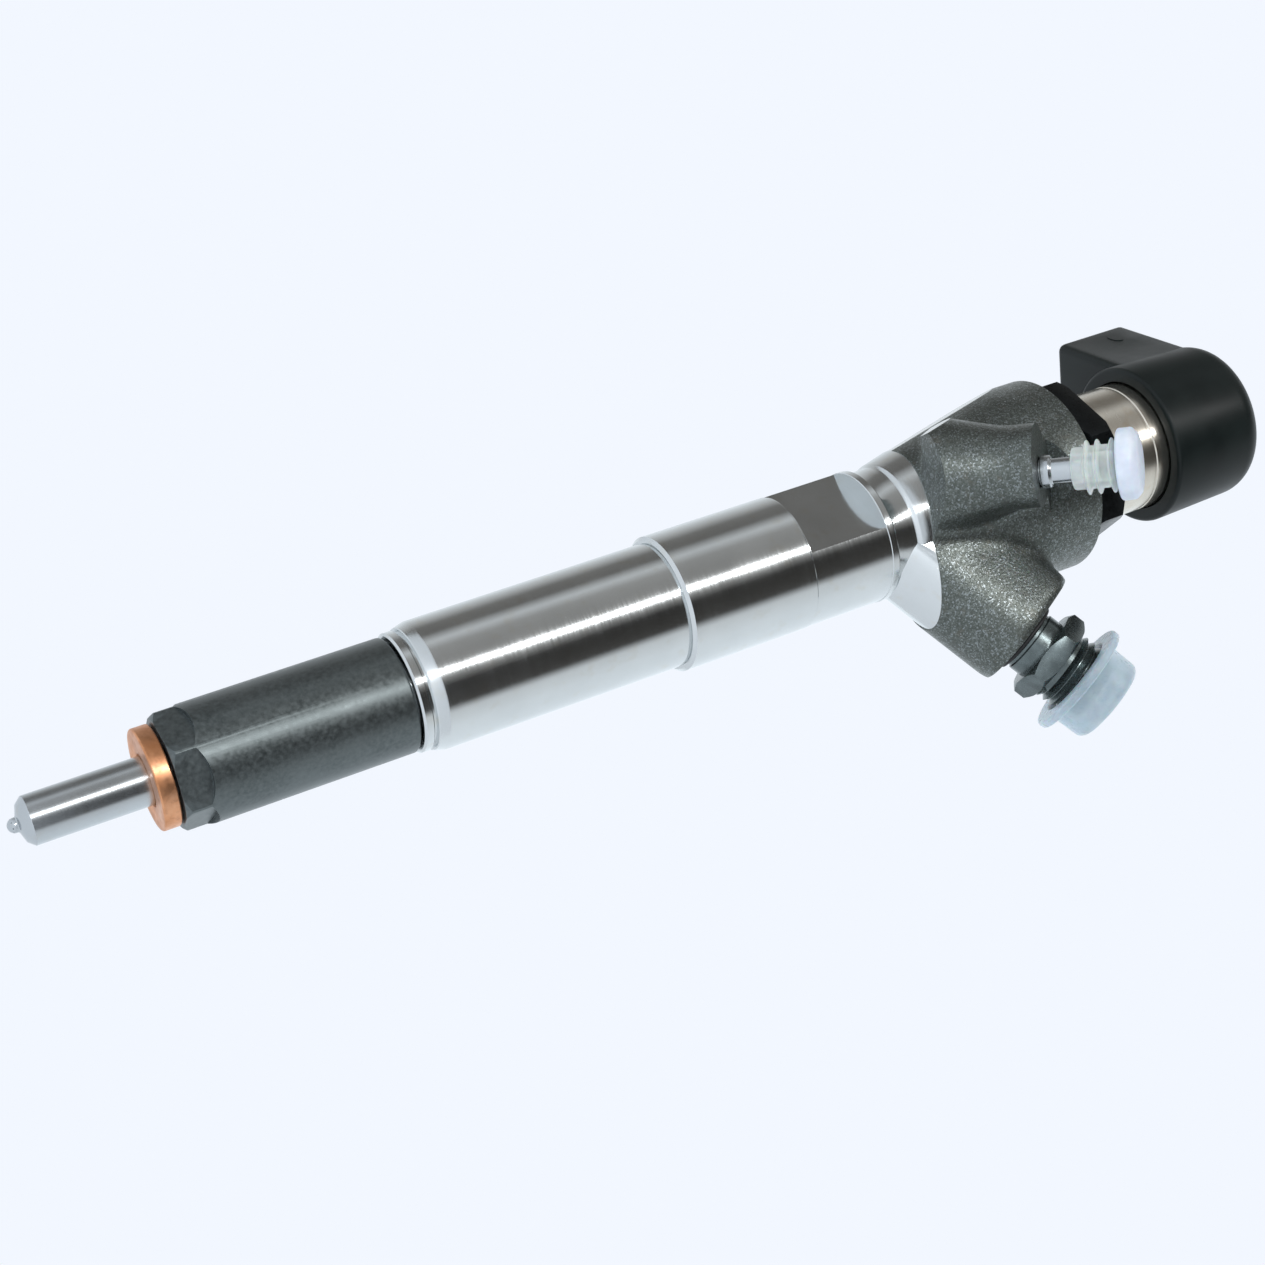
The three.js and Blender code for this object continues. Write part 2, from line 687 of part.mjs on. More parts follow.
function bodyGeometry() {
  const outer = [
    [0, bodyBottom],
    [spigotRadius, bodyBottom],
    [spigotRadius, collarBottom],
    [collarRadius - collarChamfer, collarBottom],
    [collarRadius, collarBottom + collarChamfer],
    [collarRadius, collarBottom + collarHeight],
    [collarRadius - collarChamfer, collarBottom + collarHeight],
    [collarRadius - collarChamfer, collarBottom + collarHeight + collarChamfer],
    [collarRadius + collarChamfer / 2, collarBottom + collarHeight + collarChamfer],
    [shaftRadius, collarBottom + collarHeight + shaftChamferHeight],
    [shaftRadius, shaftTop],
    [upperShaftRadius, shaftTop + shoulderHeight],
    [upperShaftRadius, upperShaftTop],
    [flatZoneRadius, flatBottom],
    [flatZoneRadius, flatTop],
    [ringRadius, flatTop],
    [ringRadius, grooveBottom],
    [sealGrooveRadius, grooveBottom],
    [sealGrooveRadius, grooveTop],
    [coneStartRadius - sealGrooveChamfer, grooveTop],
    [coneStartRadius, coneBottom],
    [headRadius, coneTop],
    [headRadius, bodyTop],
    [0, bodyTop],
  ];
  const leakBoss = disc(leakBossRadius, leakBossStart, leakReach, middle).translate(0, -leakBossShift, 0);
  const flats = [flatAngle, flatAngle + 180].map((angle) => block(
    [flatZoneRadius, 3 * flatZoneRadius, flatHeight],
    [flatDistance + flatZoneRadius / 2, 0, flatBottom + flatHeight / 2],
  ).rotateZ(toRadians(angle)));
  const headFlat = block([headRadius, 3 * headRadius, 3 * headRadius], [headRadius / 2, 0, 0])
    .rotateY(toRadians(headFlatTilt))
    .translate(headFlatRadius, 0, headFlatBottom)
    .rotateZ(toRadians(headFlatAngle));
  const elbow = leakPoint(leakElbow);
  const rooms = [
    disc(springRoomRadius, bodyBottom - past, springRoomTop, narrow),
    disc(rodRadius + gap, bodyBottom, valveRoomBottom + past, narrow),
    disc(valveRadius + gap, valveRoomBottom, leverRoomBottom + past, middle),
    disc(leverRoomRadius, leverRoomBottom, actuatorRoomBottom + past, middle),
    disc(sleeveLowRadius + gap, actuatorRoomBottom, flangeBottom, middle),
    disc(topNutSkirtRadius + gap, flangeBottom - gap, bodyTop + past, wide),
  ];
  const inletStart = feedOutset / Math.sin(toRadians(inletTilt));
  const drillings = [
    bar(point(feedInset, 0, bodyBottom - past),
      point(feedOutset, 0, inletHeight + inletStart * Math.cos(toRadians(inletTilt))), feedRadius),
    onInlet(disc(feedRadius, inletStart, bossReach, hole)),
    onInlet(disc(inletStubRadius + gap, inletStubBottom - gap, bossReach + past, middle)),
    onLeak(disc(feedRadius, leakElbow - feedRadius, leakReach, hole)),
    onLeak(disc(spigotStubRadius + gap, leakReach - spigotStubLength - gap, leakReach + past, narrow)),
    bar(elbow, new THREE.Vector3(0, 0, elbow.z), feedRadius),
  ];
  return shaped(turned(outer, wide), {
    add: [inletBossGeometry(), onLeak(leakBoss)],
    cut: [...flats, headFlat, ...rooms, ...drillings, ...dowelHoles()],
  });
}

part('injector_body', bodyGeometry(), forgedSteel);

// ---- Control valve ----

part('inlet_throttle_disc', shaped(disc(valveRadius, throttleBottom, throttleTop), {
  cut: [disc(orificeRadius, throttleBottom - past, throttleTop + past, hole)],
}), groundSteel);

part('valve_body', turnedRing([
  [valveChamberRadius, valveBottom],
  [valveRadius, valveBottom],
  [valveRadius, valveTop],
  [stemBore, valveTop],
  [stemBore, valveChamberTop + valveSeatHeight],
  [valveChamberRadius, valveChamberTop],
]), groundSteel);

part('mushroom_valve', turned([
  [0, mushroomBottom],
  [mushroomRadius, mushroomBottom],
  [mushroomRadius, valveChamberTop - seatClearance],
  [stemRadius, valveChamberTop + valveSeatHeight - seatClearance],
  [stemRadius, stemTop],
  [0, stemTop],
], narrow), groundSteel);

part('valve_spring', coil(valveSpringRadius, valveSpringWire, valveBottom, mushroomBottom - gap,
  valveSpringTurns), springSteel);

part('valve_tappet', disc(tappetRadius, tappetBottom, tappetTop, narrow), groundSteel);

// ---- Lever pair ----

part('lever_carrier', shaped(disc(leverRoomRadius - gap, carrierBottom, carrierTop), {
  add: [1, -1].map((side) => block([leverWidth, ridgeWidth, ridgeHeight + ridgeSink],
    [0, side * leverPivot, carrierTop + (ridgeHeight - ridgeSink) / 2])),
  cut: [disc(tappetRadius + holeGap, carrierBottom - past, carrierTop + past, narrow)],
}), groundSteel);

['a', 'b'].forEach((letter, i) => {
  const side = i === 0 ? 1 : -1;
  const length = leverPivot + leverTail - leverNose;
  const nose = block([leverWidth + past, 2 * leverBevel, 2 * leverBevel], [0, 0, 0])
    .rotateX(toRadians(45 * side))
    .translate(0, side * leverNose, leverTop);
  part(`lever_${letter}`, shaped(
    block([leverWidth, length, leverThickness],
      [0, side * (leverNose + length / 2), leverBottom + leverThickness / 2]),
    { cut: [nose] }), groundSteel);
});

// ---- Piezo actuator ----

part('actuator_foot', turned([
  [0, footBottom],
  [pushRing - pushRingHalf, footBottom],
  [pushRing - pushRingHalf, leverTop + gap],
  [pushRing + pushRingHalf, leverTop + gap],
  [pushRing + pushRingHalf, footBottom],
  [footRadius, footBottom],
  [footRadius, footTop],
  [0, footTop],
]), groundSteel);

part('piezo_stack', block([stackSide, stackSide, stackLength],
  [0, 0, stackBottom + stackLength / 2]), ceramic);
part('preload_tube', tube(tubeBore, tubeRadius, stackBottom, stackTop), springSteel);

function leadHoles(bottom, top) {
  return [1, -1].map((side) => disc(leadRadius + holeGap, bottom - past, top + past, hole)
    .translate(leadOffset, side * bladePitch / 2, 0));
}

part('actuator_head_plate', shaped(disc(sleeveBore - gap, headPlateBottom, headPlateTop), {
  cut: leadHoles(headPlateBottom, headPlateTop),
}), groundSteel, connectorGroup);

part('actuator_header', shaped(disc(sleeveBore - gap, headerBottom, headerTop), {
  cut: leadHoles(headerBottom, headerTop),
}), ceramic, connectorGroup);

part('actuator_sleeve', turnedRing([
  [sleeveBore, sleeveBottom],
  [sleeveLowRadius, sleeveBottom],
  [sleeveLowRadius, flangeBottom],
  [sleeveFlangeRadius, flangeBottom],
  [sleeveFlangeRadius, flangeTop],
  [sleeveNeckRadius, flangeTop],
  [sleeveNeckRadius, topNutTop + gap],
  [sleeveRadius, topNutTop + gap],
  [sleeveRadius, sleeveTop],
  [sleeveBore, sleeveTop],
], wide), groundSteel);

part('actuator_nut', shaped(
  turnedRing([
    [topNutBore, skirtBottom],
    [topNutSkirtRadius, skirtBottom],
    [topNutSkirtRadius, topNutBottom],
    [topNutChamferRadius, topNutBottom],
    [topNutFlats / Math.sqrt(3), topNutBottom + topNutChamfer],
    [topNutFlats / Math.sqrt(3), topNutTop - topNutChamfer],
    [topNutChamferRadius, topNutTop],
    [topNutBore, topNutTop],
  ], wide),
  { keep: [hexagon(topNutFlats, skirtBottom - past, topNutTop + past).rotateZ(toRadians(topNutTurn))] },
), blackenedSteel);

// ---- Connector cap ----

// A bar along X with rounded long edges.
function roundedBar(from, to, halfWidth, bottom, top, rounding) {
  const w = halfWidth - rounding;
  const low = bottom + rounding;
  const high = top - rounding;
  const outline = new THREE.Shape();
  outline.absarc(w, low, rounding, -Math.PI / 2, 0, false);
  outline.absarc(w, high, rounding, 0, Math.PI / 2, false);
  outline.absarc(-w, high, rounding, Math.PI / 2, Math.PI, false);
  outline.absarc(-w, low, rounding, Math.PI, Math.PI * 1.5, false);
  return new THREE.ExtrudeGeometry(outline, { depth: to - from, bevelEnabled: false, curveSegments: 4 })
    .rotateX(Math.PI / 2)
    .rotateZ(Math.PI / 2)
    .translate(from, 0, 0);
}

function connectorCapGeometry() {
  const grooveRadius = capBore + 2 * sealRingWire + gap;
  const shell = turned([
    [0, capBottom],
    [capRadius, capBottom],
    ...arc(capRadius - capDraft - capRounding, capTop - capRounding, capRounding, 0, 90),
    [0, capTop],
  ], wide);
  const housing = roundedBar(0, connectorReach, connectorHalfWidth, socketBottom,
    socketBottom + connectorHeight, connectorRounding);
  const latch = block([latchLength, latchWidth, latchHeight * 2],
    [connectorReach - latchInset - latchLength / 2, 0, socketBottom + connectorHeight]);
  const socket = roundedBar(connectorReach - socketDepth, connectorReach + past,
    connectorHalfWidth - socketWall, socketBottom + socketWall,
    socketBottom + connectorHeight - socketWall, connectorRounding / 2);
  const slots = [1, -1].map((side) => block(
    [connectorReach, bladeWidth + holeGap, bladeThickness + holeGap],
    [connectorReach / 2 + bladeStart / 2, side * bladePitch / 2, bladeHeight]));
  const boreStep = disc(capBore, capBottom - past, sleeveTop + gap, wide);
  const groove = disc(grooveRadius, sealGrooveBottom, sealGrooveBottom + 2 * (sealRingWire + gap), wide);
  const room = disc(capRoomRadius, sleeveTop, capRoomTop, middle);
  return shaped(shell, { add: [housing, latch], cut: [socket, ...slots, boreStep, groove, room] });
}

part('connector_cap', connectorCapGeometry(), blackPlastic, connectorGroup);

part('cap_seal_ring', turnedRing(
  arc(capBore + sealRingWire, sealGrooveBottom + gap + sealRingWire, sealRingWire, 0, 315, 7),
), rubber);

[1, -1].forEach((side, i) => {
  const tip = connectorReach - bladeInset;
  const across = side * bladePitch / 2;
  const blade = block([tip - bladeStart, bladeWidth, bladeThickness],
    [(tip + bladeStart) / 2, across, bladeHeight]);
  part(`terminal_${i + 1}`, blade, tinned, connectorGroup);

  const route = new THREE.CatmullRomCurve3([
    [leadOffset, across, headPlateBottom],
    [leadOffset, across, headerTop],
    [leadOffset, across, bladeHeight - leadBend],
    [leadOffset + leadBend * 0.3, across, bladeHeight - leadBend * 0.3],
    [bladeStart - leadLanding, across, bladeHeight],
    [bladeStart - gap, across, bladeHeight],
  ].map((place) => new THREE.Vector3(...place)), false, 'centripetal');
  part(`contact_lead_${i + 1}`, wireAlong(route, leadRadius, 20, 8), tinned, connectorGroup);
});

// ---- High-pressure inlet ----

function inletConnectorGeometry() {
  const turnedPart = turnedRing([
    [inletPassage, inletStubBottom],
    [inletStubRadius, inletStubBottom],
    [inletStubRadius, inletNeckBottom],
    [inletNeckRadius, inletNeckBottom],
    [inletNeckRadius, inletHexTop],
    [inletReliefRadius, inletHexTop],
    [inletReliefRadius, inletThreadBottom],
    [inletThreadRadius, inletThreadBottom],
    [inletThreadRadius, inletEnd - inletChamfer],
    [inletThreadRadius - inletChamfer, inletEnd],
    [inletConeRadius, inletEnd],
    [filterRadius + holeGap, inletEnd - inletConeDepth],
    [filterRadius + holeGap, filterRoomBottom],
    [inletPassage, filterRoomBottom],
  ]);
  const hexCorner = inletFlats / Math.sqrt(3);
  const hexBore = inletNeckRadius - past;
  const hexPart = shaped(turnedRing([
    [hexBore, inletHexBottom],
    [hexCorner - inletHexChamfer, inletHexBottom],
    [hexCorner, inletHexBottom + inletHexChamferHeight],
    [hexCorner, inletHexTop - inletHexChamferHeight],
    [hexCorner - inletHexChamfer, inletHexTop],
    [hexBore, inletHexTop],
  ]), { keep: [hexagon(inletFlats, inletHexBottom - past, inletHexTop + past)] });
  return shaped(turnedPart, { add: [hexPart] });
}

part('inlet_connector', inletConnectorGeometry(), blackenedSteel, inletGroup);

part('inlet_seal_ring', tube(inletNeckRadius + gap, inletNeckRadius + gap + sealBandWidth,
  bossReach + gap, bossReach + gap + sealBandHeight), rubber, inletGroup);

part('inlet_rod_filter', disc(filterRadius, filterBottom, filterBottom + filterLength, narrow),
  groundSteel, inletGroup);

part('inlet_shipping_cap', turned([
  [0, inletEnd + inletCapRoom],
  [inletCapBore, inletEnd + inletCapRoom],
  [inletCapBore, inletCapStart],
  [inletCapFlangeRadius, inletCapStart],
  [inletCapFlangeRadius, inletCapStart + inletCapFlange],
  [inletCapRadius, inletCapStart + inletCapFlange],
  ...arc(inletCapRadius - inletCapEnd, inletEnd + inletCapRoom, inletCapEnd, 0, 90),
  [0, inletEnd + inletCapRoom + inletCapEnd],
]), clearPlastic, inletGroup);

// ---- Leak-off port ----

part('leak_off_spigot', turnedRing([
  [tubeBoreRadius, leakReach - spigotStubLength],
  [spigotStubRadius, leakReach - spigotStubLength],
  [spigotStubRadius, leakReach + gap],
  [spigotCollarRadius, leakReach + gap],
  [spigotCollarRadius, leakReach + gap + spigotCollarHeight],
  [tubeOuterRadius, leakReach + gap + spigotCollarHeight],
  [tubeOuterRadius, leakReach + gap + spigotCollarHeight + tubeLength],
  [tubeBoreRadius, leakReach + gap + spigotCollarHeight + tubeLength],
], narrow), groundSteel, leakGroup);

function plugGeometry() {
  const open = leakReach + plugStart;
  const ribs = plugRibs.flatMap((height) => [
    [plugRadius, open + height - plugRibHeight / 2],
    [plugRibRadius, open + height - plugRibHeight / 4],
    [plugRibRadius, open + height + plugRibHeight / 4],
    [plugRadius, open + height + plugRibHeight / 2],
  ]);
  const headBottom = open + plugLength;
  return turned([
    [0, open + plugBoreDepth],
    [tubeOuterRadius + gap, open + plugBoreDepth],
    [tubeOuterRadius + gap, open],
    [plugRadius - plugEdge, open],
    [plugRadius, open + plugEdge],
    ...ribs,
    [plugRadius, headBottom],
    [plugHeadRadius - plugEdge, headBottom],
    [plugHeadRadius, headBottom + plugEdge],
    [plugHeadRadius, headBottom + plugHeadHeight - plugHeadDome],
    [plugHeadRadius - plugHeadDome, headBottom + plugHeadHeight],
    [0, headBottom + plugHeadHeight],
  ], middle);
}

part('leak_off_plug', plugGeometry(), clearPlastic, leakGroup);

injector.add(inletGroup, leakGroup, connectorGroup);

export default injector;
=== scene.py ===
import bpy
import json
import math
from mathutils import Matrix, Vector


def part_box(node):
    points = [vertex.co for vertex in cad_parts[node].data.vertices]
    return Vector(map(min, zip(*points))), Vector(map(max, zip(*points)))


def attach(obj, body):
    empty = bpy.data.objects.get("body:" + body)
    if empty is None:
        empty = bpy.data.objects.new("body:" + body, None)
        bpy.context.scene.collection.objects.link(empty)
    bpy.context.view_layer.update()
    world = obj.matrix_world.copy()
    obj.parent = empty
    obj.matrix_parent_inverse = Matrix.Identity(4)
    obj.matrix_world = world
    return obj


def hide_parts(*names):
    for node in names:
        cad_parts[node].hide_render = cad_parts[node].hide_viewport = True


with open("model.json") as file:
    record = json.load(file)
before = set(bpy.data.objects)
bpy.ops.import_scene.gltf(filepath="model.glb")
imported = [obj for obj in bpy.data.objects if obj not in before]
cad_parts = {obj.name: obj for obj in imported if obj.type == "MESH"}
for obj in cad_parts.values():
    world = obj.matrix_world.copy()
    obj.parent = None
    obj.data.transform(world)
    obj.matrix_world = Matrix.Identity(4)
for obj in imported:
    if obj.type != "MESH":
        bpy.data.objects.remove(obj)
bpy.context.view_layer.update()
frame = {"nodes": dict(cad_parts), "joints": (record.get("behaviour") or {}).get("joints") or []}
mm = 0.001
scene = bpy.context.scene
nodes = frame["nodes"]
joints = {joint["name"]: joint for joint in frame["joints"]}

# places and heights that the pieces share, read off the frame
washerLow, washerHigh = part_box("sealing_washer")
nutLow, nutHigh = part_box("nozzle_nut")
nozzleLow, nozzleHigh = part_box("nozzle_body")
bodyLow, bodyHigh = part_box("injector_body")
topNutLow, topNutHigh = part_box("actuator_nut")
sleeveLow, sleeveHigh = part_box("actuator_sleeve")
capLow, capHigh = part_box("connector_cap")

inletAxis = Vector(joints["inlet_cap_pull"]["axis"]).normalized()
leakAxis = Vector(joints["leak_off_plug_pull"]["axis"]).normalized()
plugAngle = math.radians(132)        # the side that the plug socket faces
inletOrigin = Vector((0, 0, 119.5 * mm))
leakOrigin = Vector((-5.5546 * mm, -3.7466 * mm, 118.7 * mm))


def placeAlong(origin, axis):
    # turns a piece made upright to lie along an axis that leaves the injector
    tilt = math.acos(axis.z)
    azimuth = math.atan2(axis.y, axis.x)
    return Matrix.Translation(origin) @ Matrix.Rotation(azimuth, 4, "Z") @ Matrix.Rotation(tilt, 4, "Y")


inletPlace = placeAlong(inletOrigin, inletAxis)
leakPlace = placeAlong(leakOrigin, leakAxis)
plugPlace = Matrix.Rotation(plugAngle, 4, "Z")
print("frame loaded")


# ---------- modelling helpers ----------

def deselectAll():
    if bpy.context.object and bpy.context.object.mode != "OBJECT":
        bpy.ops.object.mode_set(mode="OBJECT")
    bpy.ops.object.select_all(action="DESELECT")


def makeActive(piece):
    deselectAll()
    piece.select_set(True)
    bpy.context.view_layer.objects.active = piece


def applyPlace(piece, place=None):
    makeActive(piece)
    if place is not None:
        piece.matrix_world = place @ piece.matrix_world
    bpy.ops.object.transform_apply(location=True, rotation=True, scale=True)


def fixNormals(piece, threshold=1e-7):
    makeActive(piece)
    bpy.ops.object.mode_set(mode="EDIT")
    bpy.ops.mesh.select_all(action="SELECT")
    bpy.ops.mesh.remove_doubles(threshold=threshold)
    bpy.ops.mesh.normals_make_consistent(inside=False)
    bpy.ops.object.mode_set(mode="OBJECT")


# a circle drawn out ring by ring along a profile of (radius, height), in mm
def turned(name, profile, steps=96, ring=False):
    deselectAll()
    points = [(max(radius, 0.01) * mm, height * mm) for radius, height in profile]
    if ring:
        points.append(points[0])
    radius, height = points[0]
    bpy.ops.mesh.primitive_circle_add(vertices=steps, radius=radius, location=(0, 0, height),
                                      fill_type="NOTHING" if ring else "NGON")
    piece = bpy.context.object
    piece.name = name
    bpy.ops.object.mode_set(mode="EDIT")
    bpy.ops.mesh.select_mode(type="EDGE")
    bpy.ops.mesh.select_all(action="SELECT")
    if not ring:
        bpy.ops.mesh.duplicate()         # the first ring keeps its end face
        bpy.ops.mesh.delete(type="ONLY_FACE")
        bpy.ops.mesh.select_all(action="DESELECT")
        bpy.ops.mesh.select_non_manifold(extend=False)
    for (oldRadius, oldHeight), (newRadius, newHeight) in zip(points, points[1:]):
        bpy.ops.mesh.extrude_edges_move(
            TRANSFORM_OT_translate={"value": (0, 0, newHeight - oldHeight)})
        grow = newRadius / oldRadius
        bpy.ops.transform.resize(value=(grow, grow, 1), center_override=(0, 0, 0))
    bpy.ops.mesh.select_all(action="SELECT")
    bpy.ops.mesh.remove_doubles(threshold=1e-7)
    if not ring:
        bpy.ops.mesh.select_all(action="DESELECT")
        bpy.ops.mesh.select_non_manifold(extend=False)
        bpy.ops.mesh.fill_holes(sides=0)
        bpy.ops.mesh.select_all(action="SELECT")
    bpy.ops.mesh.normals_make_consistent(inside=False)
    bpy.ops.object.mode_set(mode="OBJECT")
    applyPlace(piece)
    return piece


def arc(radius, height, bend, start, end, steps=6):
    # points of a rounded corner for a profile, angles in degrees
    turns = [math.radians(start + (end - start) * i / steps) for i in range(steps + 1)]
    return [(radius + bend * math.cos(turn), height + bend * math.sin(turn)) for turn in turns]


def cylinder(name, radius, low, high, steps=64, place=None):
    deselectAll()
    bpy.ops.mesh.primitive_cylinder_add(vertices=steps, radius=radius * mm, depth=(high - low) * mm,
                                        location=(0, 0, (low + high) / 2 * mm))
    piece = bpy.context.object
    piece.name = name
    applyPlace(piece, place)
    return piece


def block(name, low, high, place=None, bevel=0, segments=5):
    deselectAll()
    centre = [(a + b) / 2 * mm for a, b in zip(low, high)]
    bpy.ops.mesh.primitive_cube_add(size=1, location=centre)
    piece = bpy.context.object
    piece.name = name
    piece.scale = [(b - a) * mm for a, b in zip(low, high)]
    bpy.ops.object.transform_apply(location=True, rotation=True, scale=True)
    if bevel:
        bpy.ops.object.mode_set(mode="EDIT")
        bpy.ops.mesh.select_all(action="SELECT")
        bpy.ops.mesh.bevel(offset=bevel * mm, segments=segments, affect="EDGES")
        bpy.ops.object.mode_set(mode="OBJECT")
    applyPlace(piece, place)
    return piece


def finishModifier(piece, kind, **settings):
    makeActive(piece)
    modifier = piece.modifiers.new(kind.lower(), kind)
    for name, value in settings.items():
        setattr(modifier, name, value)
    bpy.ops.object.modifier_apply(modifier=modifier.name)


def combine(piece, operation, tool):
    finishModifier(piece, "BOOLEAN", operation=operation, object=tool, solver="MANIFOLD")
    bpy.data.objects.remove(tool)


def cut(piece, *tools):
    for tool in tools:
        combine(piece, "DIFFERENCE", tool)


def weld(piece, *tools):
    for tool in tools:
        combine(piece, "UNION", tool)


def roundEdges(piece, width, segments=3, angle=30):
    finishModifier(piece, "BEVEL", width=width * mm, segments=segments, limit_method="ANGLE",
                   angle_limit=math.radians(angle), harden_normals=False)


def smoothShade(piece, angle=32):
    makeActive(piece)
    bpy.ops.object.shade_smooth_by_angle(angle=math.radians(angle))


def slice(piece, point, normal, keepInner=True):
    # cuts the mesh at a plane, drops one side and closes it
    makeActive(piece)
    bpy.ops.object.mode_set(mode="EDIT")
    bpy.ops.mesh.select_all(action="SELECT")
    bpy.ops.mesh.bisect(plane_co=point, plane_no=normal, use_fill=True,
                        clear_outer=keepInner, clear_inner=not keepInner)
    bpy.ops.object.mode_set(mode="OBJECT")


def halfSpace(name, point, normal, size=80):
    # a large block whose one face lies on a plane, to cut all that is past it
    turn = Vector((0, 0, 1)).rotation_difference(normal).to_matrix().to_4x4()
    return block(name, (-size / 2, -size / 2, 0), (size / 2, size / 2, size), Matrix.Translation(point) @ turn)


def settle(piece, material, body, slot, *replaced):
    piece.data.materials.clear()
    piece.data.materials.append(material)
    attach(piece, body)
    if replaced:
        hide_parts(*replaced)
    return piece


# ---------- material helpers ----------

class Wire:
    # an output socket that arithmetic can be written with
    def __init__(self, paint, socket):
        self.paint = paint
        self.socket = socket

    def math(self, operation, first, second):
        return self.paint.node("ShaderNodeMath", {"operation": operation}, {0: first, 1: second})

    def __add__(self, other):
        return self.math("ADD", self, other)

    def __radd__(self, other):
        return self.math("ADD", other, self)

    def __sub__(self, other):
        return self.math("SUBTRACT", self, other)

    def __rsub__(self, other):
        return self.math("SUBTRACT", other, self)

    def __mul__(self, other):
        return self.math("MULTIPLY", self, other)

    def __rmul__(self, other):
        return self.math("MULTIPLY", other, self)

    def __pow__(self, other):
        return self.math("POWER", self, other)


class Paint:
    # one material and its nodes
    def __init__(self, name, **constants):
        self.material = bpy.data.materials.new(name)
        self.material.use_nodes = True
        self.tree = self.material.node_tree
        self.tree.nodes.clear()
        self.shader = self.tree.nodes.new("ShaderNodeBsdfPrincipled")
        output = self.tree.nodes.new("ShaderNodeOutputMaterial")
        self.tree.links.new(self.shader.outputs[0], output.inputs[0])
        for socket, value in constants.items():
            self.shader.inputs[socket.replace("_", " ")].default_value = value

    def node(self, kind, settings, sockets, output=0):
        made = self.tree.nodes.new(kind)
        for name, value in settings.items():
            if name == "stops":
                self.setStops(made.color_ramp, value)
            else:
                setattr(made, name, value)
        for name, value in sockets.items():
            self.feed(made.inputs[name], value)
        return Wire(self, made.outputs[output])

    def setStops(self, ramp, stops):
        while len(ramp.elements) < len(stops):
            ramp.elements.new(0.5)
        for element, (position, colour) in zip(ramp.elements, stops):
            element.position = position
            element.color = (*colour, 1) if len(colour) == 3 else colour

    def feed(self, socket, value):
        if isinstance(value, Wire):
            self.tree.links.new(value.socket, socket)
        elif hasattr(socket.default_value, "__len__") and not hasattr(value, "__len__"):
            socket.default_value = [value] * len(socket.default_value)
        elif hasattr(value, "__len__") and len(value) == 3 and len(socket.default_value) == 4:
            socket.default_value = (*value, 1)
        else:
            socket.default_value = value

    def place(self, stretch=(1, 1, 1), turn=(0, 0, 0)):
        where = self.node("ShaderNodeTexCoord", {}, {}, "Object")
        return self.node("ShaderNodeMapping", {}, {"Vector": where, "Scale": stretch, "Rotation": turn})

    def noise(self, scale, detail=3, stretch=(1, 1, 1), turn=(0, 0, 0), roughness=0.55):
        return self.node("ShaderNodeTexNoise", {"noise_dimensions": "3D"}, {
            "Vector": self.place(stretch, turn), "Scale": scale, "Detail": detail, "Roughness": roughness})

    def ramp(self, value, *stops):
        return self.node("ShaderNodeValToRGB", {"stops": stops}, {"Fac": value})

    def between(self, value, low, high, toLow=0.0, toHigh=1.0):
        return self.node("ShaderNodeMapRange", {"clamp": True}, {
            "Value": value, "From Min": low, "From Max": high, "To Min": toLow, "To Max": toHigh})

    def mix(self, share, first, second):
        return self.node("ShaderNodeMix", {"data_type": "RGBA"}, {
            "Factor": share, 6: first, 7: second}, 2)

    def bump(self, height, strength, distance):
        return self.node("ShaderNodeBump", {}, {
            "Height": height, "Strength": strength, "Distance": distance * mm})

    def finish(self, **links):
        for socket, value in links.items():
            self.feed(self.shader.inputs[socket.replace("_", " ")], value)
        return self.material


# distance of a point of the object past a plane, in metres
def pastPlane(paint, normal, distance):
    where = paint.node("ShaderNodeTexCoord", {}, {}, "Object")
    along = paint.node("ShaderNodeVectorMath", {"operation": "DOT_PRODUCT"}, {
        0: where, 1: tuple(normal)}, "Value")
    return along - distance


def turnedSteel(name, tone, warm, rough, grain=1.0):
    # turning and grinding marks run round the injector, so they change along its height
    paint = Paint(name, Metallic=1.0)
    marks = paint.noise(1, 4, (180, 180, 5200))
    cloud = paint.noise(140, 3)
    stain = paint.noise(420, 5)
    lines = paint.between(marks, 0.35, 0.65, -0.5, 0.5)
    shade = paint.between(cloud, 0.3, 0.7)
    base = paint.mix(shade, [c * 0.94 for c in tone], tone)
    warmed = paint.mix(paint.between(stain, 0.56, 0.8, 0, 0.4), base, warm)
    roughness = rough + lines * (0.05 * grain) + shade * 0.03
    return paint.finish(Base_Color=warmed, Roughness=roughness,
                        Normal=paint.bump(marks, 0.1 * grain, 0.004))


def copperFinish():
    paint = Paint("copper", Metallic=1.0)
    grain = paint.noise(900, 4)
    blotch = paint.noise(260, 4)
    rings = paint.noise(1, 3, (500, 500, 4200))
    base = paint.ramp(blotch, (0.3, (0.55, 0.24, 0.11)), (0.55, (0.74, 0.36, 0.19)), (0.75, (0.83, 0.47, 0.29)))
    tarnish = paint.mix(paint.between(grain, 0.55, 0.75, 0, 0.5), base, (0.42, 0.19, 0.1))
    roughness = 0.36 + paint.between(grain, 0.3, 0.7, -0.06, 0.1)
    height = grain * 0.6 + rings * 0.5
    return paint.finish(Base_Color=tarnish, Roughness=roughness, Normal=paint.bump(height, 0.3, 0.02))


